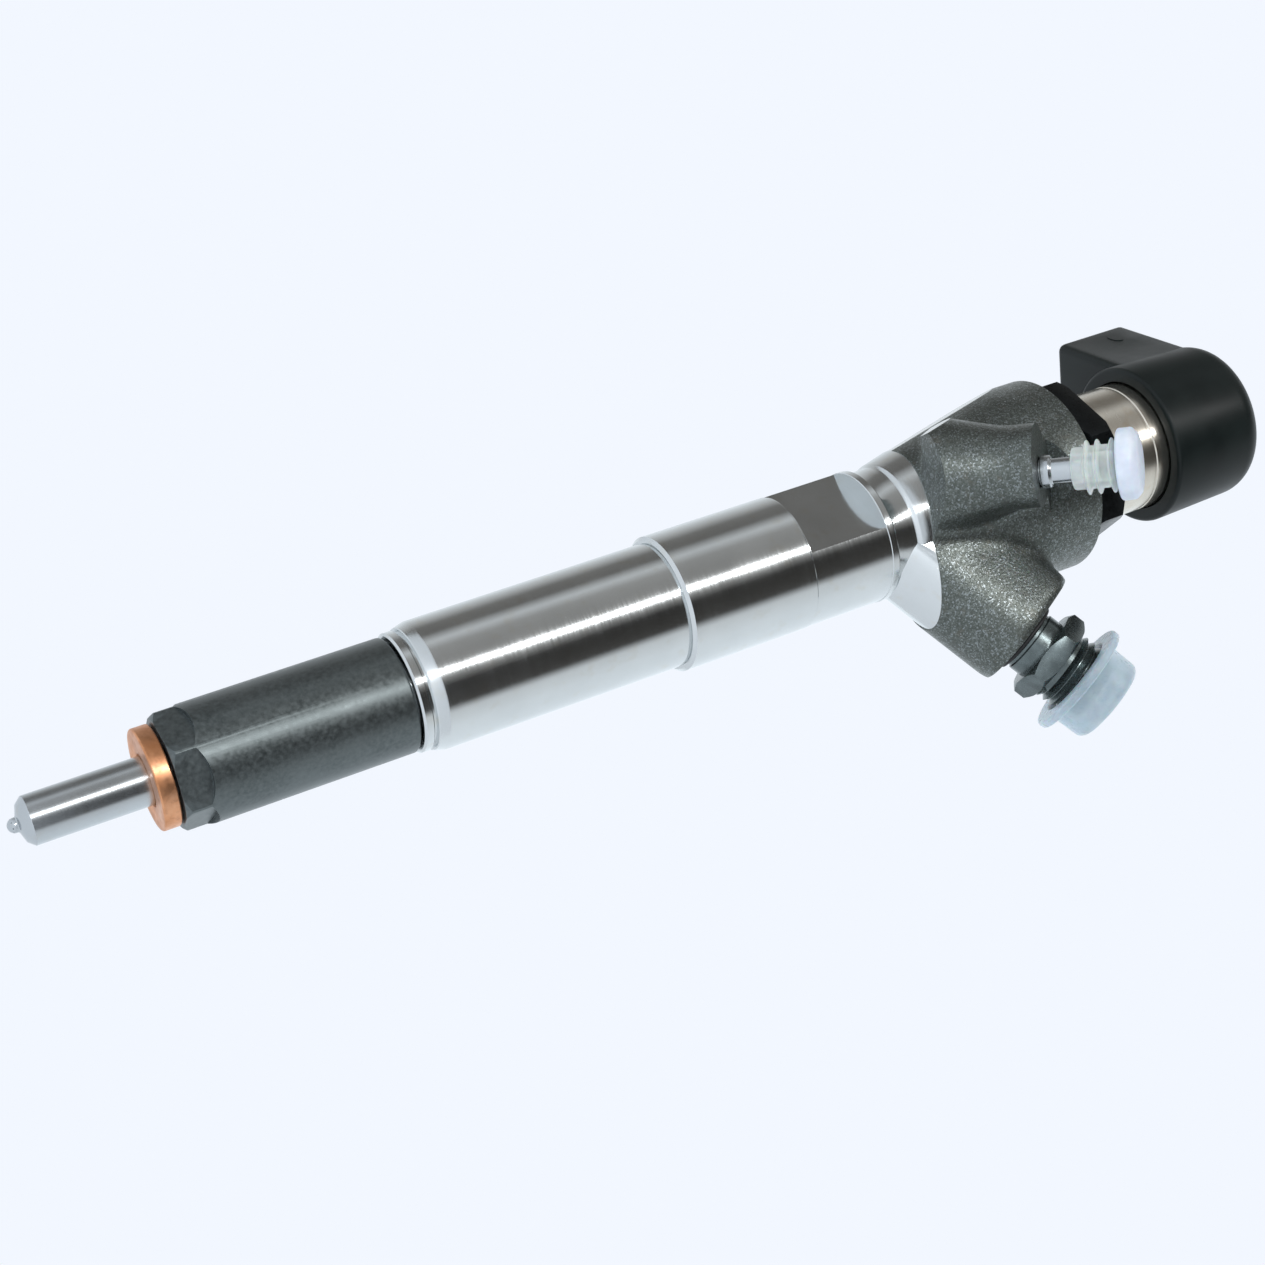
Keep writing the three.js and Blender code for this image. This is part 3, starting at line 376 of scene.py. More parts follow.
def phosphateFinish():
    # crystalline coat, dull and dark, with a fine grain and lighter clouds at random
    paint = Paint("phosphatedSteel", Metallic=0.88)
    crystals = paint.noise(5200, 2)
    grain = paint.noise(1500, 4)
    cloud = paint.noise(120, 3)
    base = paint.ramp(grain, (0.3, (0.088, 0.104, 0.106)), (0.7, (0.15, 0.172, 0.176)))
    clouded = paint.mix(paint.between(cloud, 0.35, 0.7, 0, 0.6), base, (0.165, 0.188, 0.192))
    roughness = 0.36 + paint.between(grain, 0.3, 0.7, -0.05, 0.07)
    height = crystals * 0.5 + grain * 0.5
    return paint.finish(Base_Color=clouded, Roughness=roughness, Normal=paint.bump(height, 0.35, 0.012))


def forgedFinish(flatNormal, flatDistance):
    # shot-blasted skin with one bright milled side; its glitter comes partly from the bumps and partly from painted
    # glints, random cells lightened in its colour
    paint = Paint("forgedSteel", Metallic=0.92)
    cells = paint.node("ShaderNodeTexVoronoi", {"feature": "F1"}, {
        "Vector": paint.place(), "Scale": 4600.0}, "Color")
    coarse = paint.noise(2900, 3)
    cloud = paint.noise(230, 4)
    rust = paint.noise(620, 5)
    flakeAndPaintedGlintMask = paint.between(cells, 0.68, 0.82)
    skin = paint.mix(paint.between(cells, 0.3, 0.7), (0.1, 0.112, 0.103), (0.168, 0.188, 0.176))
    clouded = paint.mix(paint.between(cloud, 0.35, 0.7, 0, 0.45), skin, (0.09, 0.099, 0.09))
    tinted = paint.mix(paint.between(rust, 0.58, 0.8, 0, 0.4), clouded, (0.17, 0.145, 0.11))
    # painted glints: random cells are lightened towards a pale bluish grey, standing in for light glinting off the
    # blasted skin; the same cells are also a little glossier
    paintedGlintColour = paint.mix(flakeAndPaintedGlintMask * 0.4, tinted, (0.38, 0.42, 0.45))
    milled = paint.between(pastPlane(paint, flatNormal, flatDistance), -0.03 * mm, -0.01 * mm)
    millMarks = paint.noise(1, 3, (300, 300, 5200))
    colour = paint.mix(milled, paintedGlintColour, (0.66, 0.67, 0.66))
    skinRough = 0.36 - flakeAndPaintedGlintMask * 0.08 + paint.between(coarse, 0.3, 0.7, -0.03, 0.05)
    roughness = skinRough + milled * (0.2 - skinRough)
    height = (coarse * 1.0 + paint.between(cells, 0.2, 0.8) * 0.35) * (1 - milled) + millMarks * 0.1 * milled
    return paint.finish(Base_Color=colour, Roughness=roughness, Normal=paint.bump(height, 1.0, 0.06))


def blackenedFinish(name, tone, rough, wear=1.0):
    paint = Paint(name, Metallic=0.9)
    grain = paint.noise(1700, 4)
    cloud = paint.noise(300, 3)
    base = paint.mix(paint.between(cloud, 0.35, 0.68), tone, [c * 1.6 for c in tone])
    worn = paint.mix(paint.between(grain, 0.62, 0.78, 0, 0.35 * wear), base, [c * 3.2 for c in tone])
    roughness = rough + paint.between(grain, 0.3, 0.7, -0.05, 0.07)
    return paint.finish(Base_Color=worn, Roughness=roughness, Normal=paint.bump(grain, 0.25 * wear, 0.008))


def blackPlasticFinish():
    # moulded, fine spark-eroded texture with a faint sheen
    paint = Paint("blackPlastic", Specular_IOR_Level=0.22)
    grain = paint.noise(3600, 2)
    cloud = paint.noise(150, 4)
    base = paint.mix(paint.between(cloud, 0.3, 0.7), (0.004, 0.0068, 0.0068), (0.008, 0.0125, 0.012))
    roughness = 0.38 + paint.between(cloud, 0.3, 0.7, -0.03, 0.05)
    return paint.finish(Base_Color=base, Roughness=roughness, Normal=paint.bump(grain, 0.22, 0.015))


def rubberFinish():
    paint = Paint("sealRubber", Specular_IOR_Level=0.4)
    grain = paint.noise(2600, 3)
    base = paint.mix(paint.between(grain, 0.3, 0.7), (0.008, 0.008, 0.009), (0.022, 0.022, 0.024))
    roughness = 0.5 + paint.between(grain, 0.3, 0.7, -0.06, 0.08)
    return paint.finish(Base_Color=base, Roughness=roughness, Normal=paint.bump(grain, 0.3, 0.01))


def milkyFinish(name, tone, tint, clear, solid, rough):
    # unfilled polythene: clearer where it is seen square on, milky at its edges
    paint = Paint(name, IOR=1.5, Subsurface_Weight=0.25, Subsurface_Scale=0.002)
    cloud = paint.noise(260, 3)
    scuff = paint.noise(1400, 4, (1, 1, 0.4))
    facing = paint.node("ShaderNodeLayerWeight", {}, {"Blend": 0.45}, "Facing")
    base = paint.mix(paint.between(cloud, 0.35, 0.7), tone, tint)
    alpha = paint.between(facing, 0.1, 0.75, clear, solid) + paint.between(cloud, 0.35, 0.7, -0.04, 0.06)
    roughness = rough + paint.between(scuff, 0.35, 0.7, -0.04, 0.12)
    return paint.finish(Base_Color=base, Roughness=roughness, Alpha=alpha,
                        Normal=paint.bump(scuff, 0.15, 0.01))


def speckled(name, low, high, rough, scale, **constants):
    paint = Paint(name, **constants)
    grain = paint.noise(scale, 4)
    roughness = rough + paint.between(grain, 0.3, 0.7, -0.06, 0.08)
    return paint.finish(Base_Color=paint.mix(paint.between(grain, 0.3, 0.7), low, high),
                        Roughness=roughness, Normal=paint.bump(grain, 0.2, 0.01))


headFlat = {"azimuth": 193, "tilt": 11.8, "radius": 10.85, "height": 123.2}
flatTurn = Matrix.Rotation(math.radians(headFlat["azimuth"]), 4, "Z") @ Matrix.Rotation(
    math.radians(headFlat["tilt"]), 4, "Y")
flatNormal = (flatTurn @ Vector((1, 0, 0))).normalized()
flatPoint = Matrix.Rotation(math.radians(headFlat["azimuth"]), 4, "Z") @ Vector(
    (headFlat["radius"] * mm, 0, headFlat["height"] * mm))

groundSteel = turnedSteel("groundSteel", (0.54, 0.575, 0.6), (0.5, 0.47, 0.4), 0.2, 0.35)
shaftSteel = turnedSteel("shaftSteel", (0.68, 0.71, 0.72), (0.6, 0.57, 0.48), 0.13, 0.9)
warmSteel = turnedSteel("warmSteel", (0.72, 0.68, 0.6), (0.6, 0.46, 0.3), 0.22, 1.2)
springSteel = turnedSteel("springSteel", (0.42, 0.42, 0.41), (0.4, 0.36, 0.3), 0.34)
copper = copperFinish()
phosphatedSteel = phosphateFinish()
forgedSteel = forgedFinish(flatNormal, flatPoint.dot(flatNormal))
blackSteel = blackenedFinish("blackenedSteel", (0.014, 0.016, 0.017), 0.3)
inletSteel = blackenedFinish("inletSteel", (0.1, 0.12, 0.122), 0.24, 0.35)
blackPlastic = blackPlasticFinish()
sealRubber = rubberFinish()
capPlastic = milkyFinish("milkyPlastic", (0.55, 0.69, 0.78), (0.63, 0.76, 0.84), 0.4, 0.9, 0.28)
plugPlastic = milkyFinish("clearPlastic", (0.88, 0.96, 0.92), (0.93, 0.98, 0.95), 0.3, 0.8, 0.16)
whitePlastic = milkyFinish("whitePlastic", (0.72, 0.79, 0.92), (0.78, 0.85, 0.95), 0.9, 1.0, 0.35)
piezoLacquer = speckled("piezoLacquer", (0.2, 0.15, 0.08), (0.33, 0.26, 0.15), 0.4, 900)
insulator = speckled("insulator", (0.6, 0.57, 0.5), (0.72, 0.69, 0.62), 0.45, 1100)
tinPlate = speckled("tinPlate", (0.6, 0.59, 0.55), (0.78, 0.77, 0.72), 0.26, 1500, Metallic=1.0)
print("materials made")


# ---------- nozzle end ----------

washer = {"bore": 3.8, "radius": 7.3, "thickness": 2.5, "edge": 0.28}


def makeWasher():
    bore, radius = washer["bore"], washer["radius"]
    thickness, edge = washer["thickness"], washer["edge"]
    piece = turned("washerRing", [
        (bore, 0.12), (bore + 0.12, 0),
        *arc(radius - edge, edge, edge, -90, 0),
        *arc(radius - edge, thickness - edge, edge, 0, 90),
        (bore + 0.12, thickness), (bore, thickness - 0.12)], 128, ring=True)
    smoothShade(piece, 50)
    settle(piece, copper, "injector", "copper", "sealing_washer")


nozzle = {"shank": 3.5, "sac": 1.05, "tipEdge": 0.75, "tipFace": -17.55, "holes": 7, "holeRadius": 0.09,
          "stepRadius": 6.85, "stepLow": 7.9, "stepHigh": 24.1}


def makeNozzle():
    shank, sac, edge, face = nozzle["shank"], nozzle["sac"], nozzle["tipEdge"], nozzle["tipFace"]
    sacCentre = -19 + sac
    profile = [
        *arc(0, sacCentre, sac, -88, -8, 10),
        (sac + 0.02, sacCentre + 0.25),
        *[(sac + 0.3 - 0.3 * math.cos(math.radians(a)), face - 0.3 + 0.3 * math.sin(math.radians(a)))
          for a in (15, 40, 65, 90)],
        (shank - edge - 0.1, face + 0.42),
        *arc(shank - 0.3, face + edge + 0.75, 0.3, -42, 0, 4),
        (shank, nozzle["stepLow"]),
        (nozzle["stepRadius"] - 0.6, nozzle["stepLow"]),
        (nozzle["stepRadius"], nozzle["stepLow"] + 0.6),
        (nozzle["stepRadius"], nozzle["stepHigh"]),
    ]
    piece = turned("nozzleShank", profile, 96)
    for i in range(nozzle["holes"]):
        azimuth = 2 * math.pi * i / nozzle["holes"]
        spray = placeAlong(Vector((0, 0, (sacCentre - 0.1) * mm)),
                           Vector((math.cos(azimuth), math.sin(azimuth), -0.32)).normalized())
        cut(piece, cylinder("sprayHole", nozzle["holeRadius"], 0.75, 1.6, 12, spray))
    smoothShade(piece, 34)
    settle(piece, groundSteel, "injector", "ground_steel", "nozzle_body")


nut = {"bore": 7.3, "radius": 8.55, "flats": 15, "bottom": 2.8, "top": 37.0, "flatEnd": 7.35,
       "cutter": 8.5, "chamfer": 0.55, "lowChamfer": 0.7, "floor": 7.6, "shankHole": 3.8}


def makeNozzleNut():
    radius, bottom, top = nut["radius"], nut["bottom"], nut["top"]
    chamfer, low = nut["chamfer"], nut["lowChamfer"]
    piece = turned("nozzleNut", [
        (nut["shankHole"], bottom), (radius - low, bottom), (radius, bottom + low),
        *arc(radius - chamfer, top - chamfer, chamfer, 0, 90, 4),
        (nut["bore"] + 0.3, top), (nut["bore"], top - 0.3),
        (nut["bore"], nut["floor"]), (nut["shankHole"], nut["floor"])], 128, ring=True)
    for i in range(6):
        # each flat is milled by a round cutter, so it ends in an arc
        side = Matrix.Rotation(math.radians(60 * i), 4, "Z")
        reach = Matrix.Translation(Vector((0, 0, (nut["flatEnd"] - nut["cutter"]) * mm)))
        lie = Matrix.Rotation(math.radians(90), 4, "Y")
        tool = cylinder("flatCutter", nut["cutter"], nut["flats"] / 2, nut["flats"] / 2 + 3, 96,
                        side @ reach @ lie)
        cut(piece, tool)
    roundEdges(piece, 0.12, 2, 14)
    smoothShade(piece, 22)
    settle(piece, phosphatedSteel, "injector", "phosphated_steel", "nozzle_nut")


# ---------- body ----------

shaft = {"spigot": 7.0, "low": 30.4, "collarLow": 37.3, "collar": 8.9, "collarHigh": 38.8,
         "neck": 8.5, "neckHigh": 39.35, "radius": 9.58, "chamferHigh": 41.2, "high": 79.0,
         "stepHigh": 79.9, "upper": 10.47, "upperHigh": 100.6, "flatLow": 100.9, "flatHigh": 114.1,
         "flatRadius": 10.35, "flatDistance": 7.35, "flatAngle": 60, "ring": 10.4, "ringHigh": 115.4,
         "groove": 9.8, "grooveHigh": 119.4, "cone": 10.3, "coneLow": 119.8}
head = {"radius": 15.42, "coneHigh": 141.2, "high": 149.5, "slope": 0.2393, "skinLow": 122.3, "skinFall": 0.15,
        "proud": 0.2, "swell": 0.3, "grid": 0.44, "smoothing": 110}
inletBoss = {"radius": 8.5, "face": 26.9, "start": 5, "webWidth": 8.45, "webTop": 10.4, "corner": 6.4, "spare": 0.8}
leakBoss = {"radius": 6.1, "face": 25.75, "shift": 1.15, "start": 9, "flare": 3.4, "swell": 0.42}


def skinPlane():
    # the turned cone gives way to the forged skin at a slanting plane
    return Vector((0, 0, head["skinLow"] * mm)), Vector((head["skinFall"], 0, 1)).normalized()


def inletBlank(name, top, start, swell=0):
    # round boss and the web that fills the corner towards the head
    boss = cylinder(name, inletBoss["radius"] + swell, start, top, 128, inletPlace)
    half, web = inletBoss["webWidth"] + swell, inletBoss["webTop"] + swell
    webBlock = block("web", (-web, -half, start), (0, half, top), None)
    makeActive(webBlock)
    bpy.ops.object.mode_set(mode="EDIT")
    bpy.ops.mesh.select_all(action="DESELECT")
    bpy.ops.object.mode_set(mode="OBJECT")
    for edge in webBlock.data.edges:
        ends = [webBlock.data.vertices[v].co for v in edge.vertices]
        edge.select = all(end.x < -web * mm * 0.9 for end in ends) and abs(ends[0].z - ends[1].z) > mm
    bpy.ops.object.mode_set(mode="EDIT")
    bpy.ops.mesh.select_mode(type="EDGE")
    bpy.ops.mesh.bevel(offset=inletBoss["corner"] * mm, segments=10, affect="EDGES")
    bpy.ops.object.mode_set(mode="OBJECT")
    applyPlace(webBlock, inletPlace)
    weld(boss, webBlock)
    return boss


def makeShaft():
    s = shaft
    profile = [
        (s["spigot"], s["low"]), (s["spigot"], s["collarLow"]),
        (s["collar"] - 0.3, s["collarLow"]), (s["collar"], s["collarLow"] + 0.3),
        (s["collar"], s["collarHigh"] - 0.15), (s["collar"] - 0.15, s["collarHigh"]),
        (s["neck"], s["collarHigh"]), (s["neck"], s["neckHigh"]),
        (s["collar"] + 0.1, s["neckHigh"]),
        (s["collar"] + 0.22, s["neckHigh"] + 0.12),
        (s["radius"] - 0.08, s["chamferHigh"] - 0.35), (s["radius"], s["chamferHigh"]),
        (s["radius"], s["high"]),
        (s["radius"] - 0.12, s["high"] + 0.05), (s["radius"] - 0.12, s["high"] + 0.35),
        (s["upper"] - 0.5, s["high"] + 0.4), (s["upper"], s["stepHigh"]),
        (s["upper"], s["upperHigh"]),
        (s["flatRadius"], s["flatLow"] - 0.15), (s["flatRadius"], s["flatHigh"]),
        (s["ring"] + 0.05, s["flatHigh"] + 0.1), (s["ring"] + 0.05, s["ringHigh"] - 0.2),
        (s["ring"] - 0.15, s["ringHigh"]), (s["groove"] + 0.2, s["ringHigh"]),
        *[(s["groove"] + 0.3 - 0.3 * math.cos(math.radians(a)), s["ringHigh"] + 0.3 - 0.3 * math.cos(
            math.radians(90 - a)) + 0.05) for a in (60, 30, 0)],
        (s["groove"], s["grooveHigh"] - 0.5), (s["groove"] + 0.12, s["grooveHigh"] - 0.15),
        (s["cone"] - 0.1, s["coneLow"] - 0.2), (s["cone"], s["coneLow"]),
        (s["cone"] + (130 - s["coneLow"]) * head["slope"], 130),
    ]
    piece = turned("bodyShaft", profile, 160)
    boss = inletBlank("lowerBoss", inletBoss["face"] - 1.2, inletBoss["start"])
    weld(piece, boss)
    reach = 2 * s["radius"]
    for turn in (s["flatAngle"], s["flatAngle"] + 180):
        side = Matrix.Rotation(math.radians(turn), 4, "Z")
        cut(piece, block("clampFlat", (s["flatDistance"], -reach, s["flatLow"]),
                         (s["flatDistance"] + reach, reach, s["flatHigh"]), side))
    point, normal = skinPlane()
    slice(piece, point, normal)
    smoothShade(piece, 24)
    settle(piece, shaftSteel, "injector", "ground_steel", "injector_body")


def makeForging():
    # three rough blanks melt into one skin with soft fillets, and then the machined faces cut it
    proud, over = head["proud"], 4
    low = 112
    lowRadius = shaft["cone"] + proud + (low - shaft["coneLow"]) * head["slope"]
    blank = turned("bodyForging", [
        (0, low), (lowRadius, low), (head["radius"] + proud, head["coneHigh"]),
        (head["radius"] + proud, head["high"] + over), (0, head["high"] + over)], 128)
    inlet = inletBlank("inletBlank", inletBoss["face"] + inletBoss["spare"], inletBoss["start"], head["swell"])
    leak = turned("leakBlank", [
        (0, leakBoss["start"]), (leakBoss["radius"] + leakBoss["flare"], leakBoss["start"]),
        (leakBoss["radius"] + leakBoss["swell"], leakBoss["face"] - 5),
        (leakBoss["radius"] + leakBoss["swell"], leakBoss["face"] + over), (0, leakBoss["face"] + over)], 96)
    applyPlace(leak, leakPlace @ Matrix.Translation(Vector((0, -leakBoss["shift"] * mm, 0))))
    deselectAll()
    for piece in (inlet, leak, blank):
        piece.select_set(True)
    bpy.context.view_layer.objects.active = blank
    bpy.ops.object.join()
    finishModifier(blank, "REMESH", mode="VOXEL", voxel_size=head["grid"] * mm)
    finishModifier(blank, "SMOOTH", factor=0.5, iterations=head["smoothing"])
    point, normal = skinPlane()
    cut(blank,
        halfSpace("skinCut", point, -normal),
        halfSpace("millCut", flatPoint, flatNormal),
        halfSpace("topCut", Vector((0, 0, head["high"] * mm)), Vector((0, 0, 1))),
        cylinder("inletFace", 13, inletBoss["face"], 36, 64, inletPlace),
        cylinder("leakFace", 8.6, leakBoss["face"], 36, 64, leakPlace),
        cylinder("inletBore", 5.95, 18, 30, 64, inletPlace),
        cylinder("leakBore", 2.3, 20, 30, 48, leakPlace),
        cylinder("nutBore", 11.1, 137.4, 151, 96),
        cylinder("sleeveBore", 8.2, 126, 140, 96))
    smoothShade(blank, 40)
    settle(blank, forgedSteel, "injector", "forged_steel", "injector_body")


# ---------- actuator ----------

topNut = {"flats": 24, "bottom": 151.3, "top": 156.2, "corner": 12.95, "chamfer": 0.75, "turn": 2,
          "skirt": 10.8, "skirtLow": 141.3, "bore": 8.6}


def makeActuatorNut():
    corner = topNut["flats"] / math.sqrt(3)
    bottom, top = topNut["bottom"], topNut["top"]
    hexPart = turned("actuatorNut", [
        (topNut["bore"], bottom), (topNut["corner"], bottom), (corner, bottom + topNut["chamfer"]),
        (corner, top - topNut["chamfer"]), (topNut["corner"], top), (topNut["bore"], top)], 144, ring=True)
    prism = cylinder("prism", corner, bottom - 1, top + 1, 6)
    prism.matrix_world = Matrix.Rotation(math.radians(topNut["turn"]), 4, "Z")
    applyPlace(prism)
    combine(hexPart, "INTERSECT", prism)
    roundEdges(hexPart, 0.12, 2, 25)
    skirt = turned("skirt", [
        (topNut["bore"], topNut["skirtLow"]), (topNut["skirt"] - 0.4, topNut["skirtLow"]),
        (topNut["skirt"], topNut["skirtLow"] + 0.4), (topNut["skirt"], bottom - 0.5),
        (topNut["skirt"] - 0.35, bottom - 0.3), (topNut["skirt"] - 0.35, bottom + 1),
        (topNut["bore"], bottom + 1)], 96, ring=True)
    weld(hexPart, skirt)
    smoothShade(hexPart, 24)
    settle(hexPart, blackSteel, "injector", "blackened_steel", "actuator_nut")


sleeve = {"bore": 7.3, "low": 131.4, "lowRadius": 7.9, "flangeLow": 137.7, "flange": 9.9,
          "flangeHigh": 141.0, "neck": 8.3, "shoulder": 156.5, "radius": 10.43, "high": 170.3}


def makeSleeve():
    s = sleeve
    piece = turned("actuatorSleeve", [
        (s["bore"], s["low"]), (s["lowRadius"], s["low"]), (s["lowRadius"], s["flangeLow"]),
        (s["flange"], s["flangeLow"]), (s["flange"], s["flangeHigh"]), (s["neck"], s["flangeHigh"]),
        (s["neck"], s["shoulder"]), (s["radius"] - 0.3, s["shoulder"]), (s["radius"], s["shoulder"] + 0.3),
        (s["radius"], s["high"] - 6.1), (s["radius"] - 0.12, s["high"] - 5.95),
        (s["radius"] - 0.12, s["high"] - 5.6), (s["radius"], s["high"] - 5.45),
        (s["radius"], s["high"]), (s["bore"], s["high"])], 144, ring=True)
    smoothShade(piece, 30)
    settle(piece, warmSteel, "injector", "turned_steel", "actuator_sleeve")


# ---------- connector cap ----------

cap = {"radius": 13.0, "draft": 0.4, "low": 167.0, "high": 185.4, "rounding": 3.9, "rim": 0.7, "bore": 10.73,
       "boreHigh": 170.6, "room": 7.6, "roomHigh": 182.0}
plugBox = {"reach": 20.6, "half": 12.05, "low": 169.25, "height": 13.85, "edge": 1.3, "wall": 2.65,
           "depth": 10.2, "latchWidth": 6, "latchHeight": 1.1, "latchLength": 4}


def makeCap():
    radius, low, high, rounding = cap["radius"], cap["low"], cap["high"], cap["rounding"]
    topRadius = radius - cap["draft"]
    shell = turned("connectorCap", [
        (cap["bore"] - 0.6, low + 0.25),
        *arc(radius - cap["rim"], low + cap["rim"], cap["rim"], -90, 0, 5),
        *arc(topRadius - rounding, high - rounding, rounding, 0, 88, 14),
        (0.3, high)], 160)
    box, edge = plugBox, plugBox["edge"]
    top = box["low"] + box["height"]
    housing = block("housing", (-2, -box["half"], box["low"]), (box["reach"], box["half"], top), plugPlace, edge, 5)
    half, wall = box["half"], box["wall"]
    ridgeLow = (box["reach"] - 2 - box["latchLength"], -box["latchWidth"] / 2, top - 0.5)
    ridgeHigh = (box["reach"] - 2, box["latchWidth"] / 2, top + box["latchHeight"])
    latch = block("latch", ridgeLow, ridgeHigh, plugPlace, 0.35, 3)
    makeActive(housing)
    for side in (1, -1):                 # a raised oval mark on each flank
        mark = cylinder("mark", 0.95, half - 1, half + 0.1, 48)
        mark.scale = (1.9, 1, 1)
        mark.rotation_euler = (math.radians(-90 * side), 0, 0)
        mark.location = (15.6 * mm, 0, (box["low"] + 8.6) * mm)
        applyPlace(mark, plugPlace)
        weld(housing, mark)
    weld(shell, housing, latch)
    socket = block("socket", (box["reach"] - box["depth"], wall - half, box["low"] + wall),
                   (box["reach"] + 2, half - wall, top - wall), plugPlace, 0.7, 4)
    bore = turned("bore", [(cap["bore"], low - 2), (cap["bore"], cap["boreHigh"]), (cap["room"], cap["boreHigh"]),
                           (cap["room"], cap["roomHigh"] - 1), (cap["room"] - 1, cap["roomHigh"])], 96)
    cut(shell, socket, bore)
    smoothShade(shell, 30)
    settle(shell, blackPlastic, "injector", "black_plastic", "connector_cap")


def makeTerminals():
    for number in (1, 2):
        low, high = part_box(f"terminal_{number}")
        side = 1 if number == 1 else -1
        blade = block(f"blade_{number}", (4.9, side * 2.9 - 1.4, 175.775), (15.3, side * 2.9 + 1.4, 176.575), None)
        makeActive(blade)
        for face in blade.data.polygons:
            face.select = face.normal.x > 0.9
        bpy.ops.object.mode_set(mode="EDIT")
        bpy.ops.mesh.select_mode(type="FACE")
        bpy.ops.mesh.inset(thickness=0.12 * mm)
        bpy.ops.transform.resize(value=(1, 0.72, 0.45), center_override=(15.3 * mm, side * 2.9 * mm, 176.175 * mm))
        bpy.ops.object.mode_set(mode="OBJECT")
        roundEdges(blade, 0.1, 3, 40)
        applyPlace(blade, plugPlace)
        smoothShade(blade, 40)
        settle(blade, tinPlate, "injector", "tinned_contact", f"terminal_{number}")


# ---------- high-pressure inlet ----------

inlet = {"stubLow": 17.5, "stub": 5.6, "neckLow": 26.6, "neck": 5.05, "hexLow": 30.7, "hexHigh": 34.0,
         "flats": 13, "corner": 6.75, "chamfer": 0.75, "relief": 4.9, "threadLow": 34.2, "thread": 5.95,
         "pitch": 1.25, "depth": 0.75, "high": 41.1, "cone": 4.2, "bore": 2.4}


def threadRidge(name, radius, depth, pitch, low, turns, steps=48):
    # one V-shaped section carried round in a helix, then closed at both ends
    deselectAll()
    bpy.ops.mesh.primitive_circle_add(vertices=4, radius=pitch * 0.5 * mm, fill_type="NOTHING",
                                      location=((radius - depth) * mm, 0, low * mm),
                                      rotation=(math.radians(90), 0, 0))
    ridge = bpy.context.object
    ridge.name = name
    applyPlace(ridge)
    for vertex in ridge.data.vertices:
        outward = vertex.co.x - (radius - depth) * mm
        height = vertex.co.z - low * mm
        if outward > pitch * 0.3 * mm:
            vertex.co.x = (radius - 0.06) * mm
        elif outward < -pitch * 0.3 * mm:
            vertex.co.x = (radius - depth - 0.35) * mm
        else:
            vertex.co.z = low * mm + math.copysign(pitch * 0.46 * mm, height)
    finishModifier(ridge, "SCREW", angle=2 * math.pi, screw_offset=pitch * mm, iterations=turns,
                   steps=steps, render_steps=steps, axis="Z", use_merge_vertices=False)
    makeActive(ridge)
    bpy.ops.object.mode_set(mode="EDIT")
    bpy.ops.mesh.select_all(action="DESELECT")
    bpy.ops.mesh.select_mode(type="EDGE")
    bpy.ops.mesh.select_non_manifold(extend=False)
    bpy.ops.mesh.fill_holes(sides=0)
    bpy.ops.mesh.select_all(action="SELECT")
    bpy.ops.mesh.normals_make_consistent(inside=False)
    bpy.ops.object.mode_set(mode="OBJECT")
    return ridge


def makeInlet():
    s = inlet
    root = s["thread"] - s["depth"]
    core = turned("inletConnector", [
        (1.2, s["stubLow"]), (s["stub"], s["stubLow"]), (s["stub"], s["neckLow"]),
        (s["neck"], s["neckLow"]), (s["neck"], s["neckLow"] + 1.2), (s["neck"] - 0.25, s["neckLow"] + 1.4),
        (s["neck"] - 0.25, s["neckLow"] + 1.8), (s["neck"], s["neckLow"] + 2.0),
        (s["neck"], s["hexHigh"]), (s["relief"], s["hexHigh"]), (s["relief"], s["threadLow"]),
        (root, s["threadLow"]), (root, s["high"] - 0.6), (root - 0.6, s["high"]),
        (s["cone"], s["high"]), (s["bore"], s["high"] - 2.4), (s["bore"], s["stubLow"] + 6.2),
        (1.2, s["stubLow"] + 6.2)], 96, ring=True)
    corner = s["flats"] / math.sqrt(3)
    hexPart = turned("hexagon", [
        (s["neck"] - 1, s["hexLow"]), (s["corner"] - 0.2, s["hexLow"]), (corner, s["hexLow"] + s["chamfer"]),
        (corner, s["hexHigh"] - s["chamfer"]), (s["corner"] - 0.2, s["hexHigh"]),
        (s["neck"] - 1, s["hexHigh"])], 120, ring=True)
    combine(hexPart, "INTERSECT", cylinder("prism", corner, s["hexLow"] - 1, s["hexHigh"] + 1, 6))
    roundEdges(hexPart, 0.1, 2, 25)
    ridge = threadRidge("ridge", s["thread"], s["depth"], s["pitch"], s["threadLow"] + 0.25, 5)
    weld(core, hexPart, ridge)
    applyPlace(core, inletPlace)
    smoothShade(core, 28)
    settle(core, inletSteel, "injector", "blackened_steel", "inlet_connector")
    band = turned("inletSealRing", [
        *arc(5.5, 27.45, 0.22, 180, 360, 6), *arc(5.5, 27.6, 0.22, 0, 180, 6)], 96, ring=True)
    applyPlace(band, inletPlace)
    smoothShade(band, 60)
    settle(band, sealRubber, "injector", "rubber", "inlet_seal_ring")


inletCap = {"bore": 6.25, "radius": 6.95, "flange": 9.25, "low": 37.4, "flangeHigh": 38.8, "inner": 43.2,
            "high": 44.3, "round": 1.35}


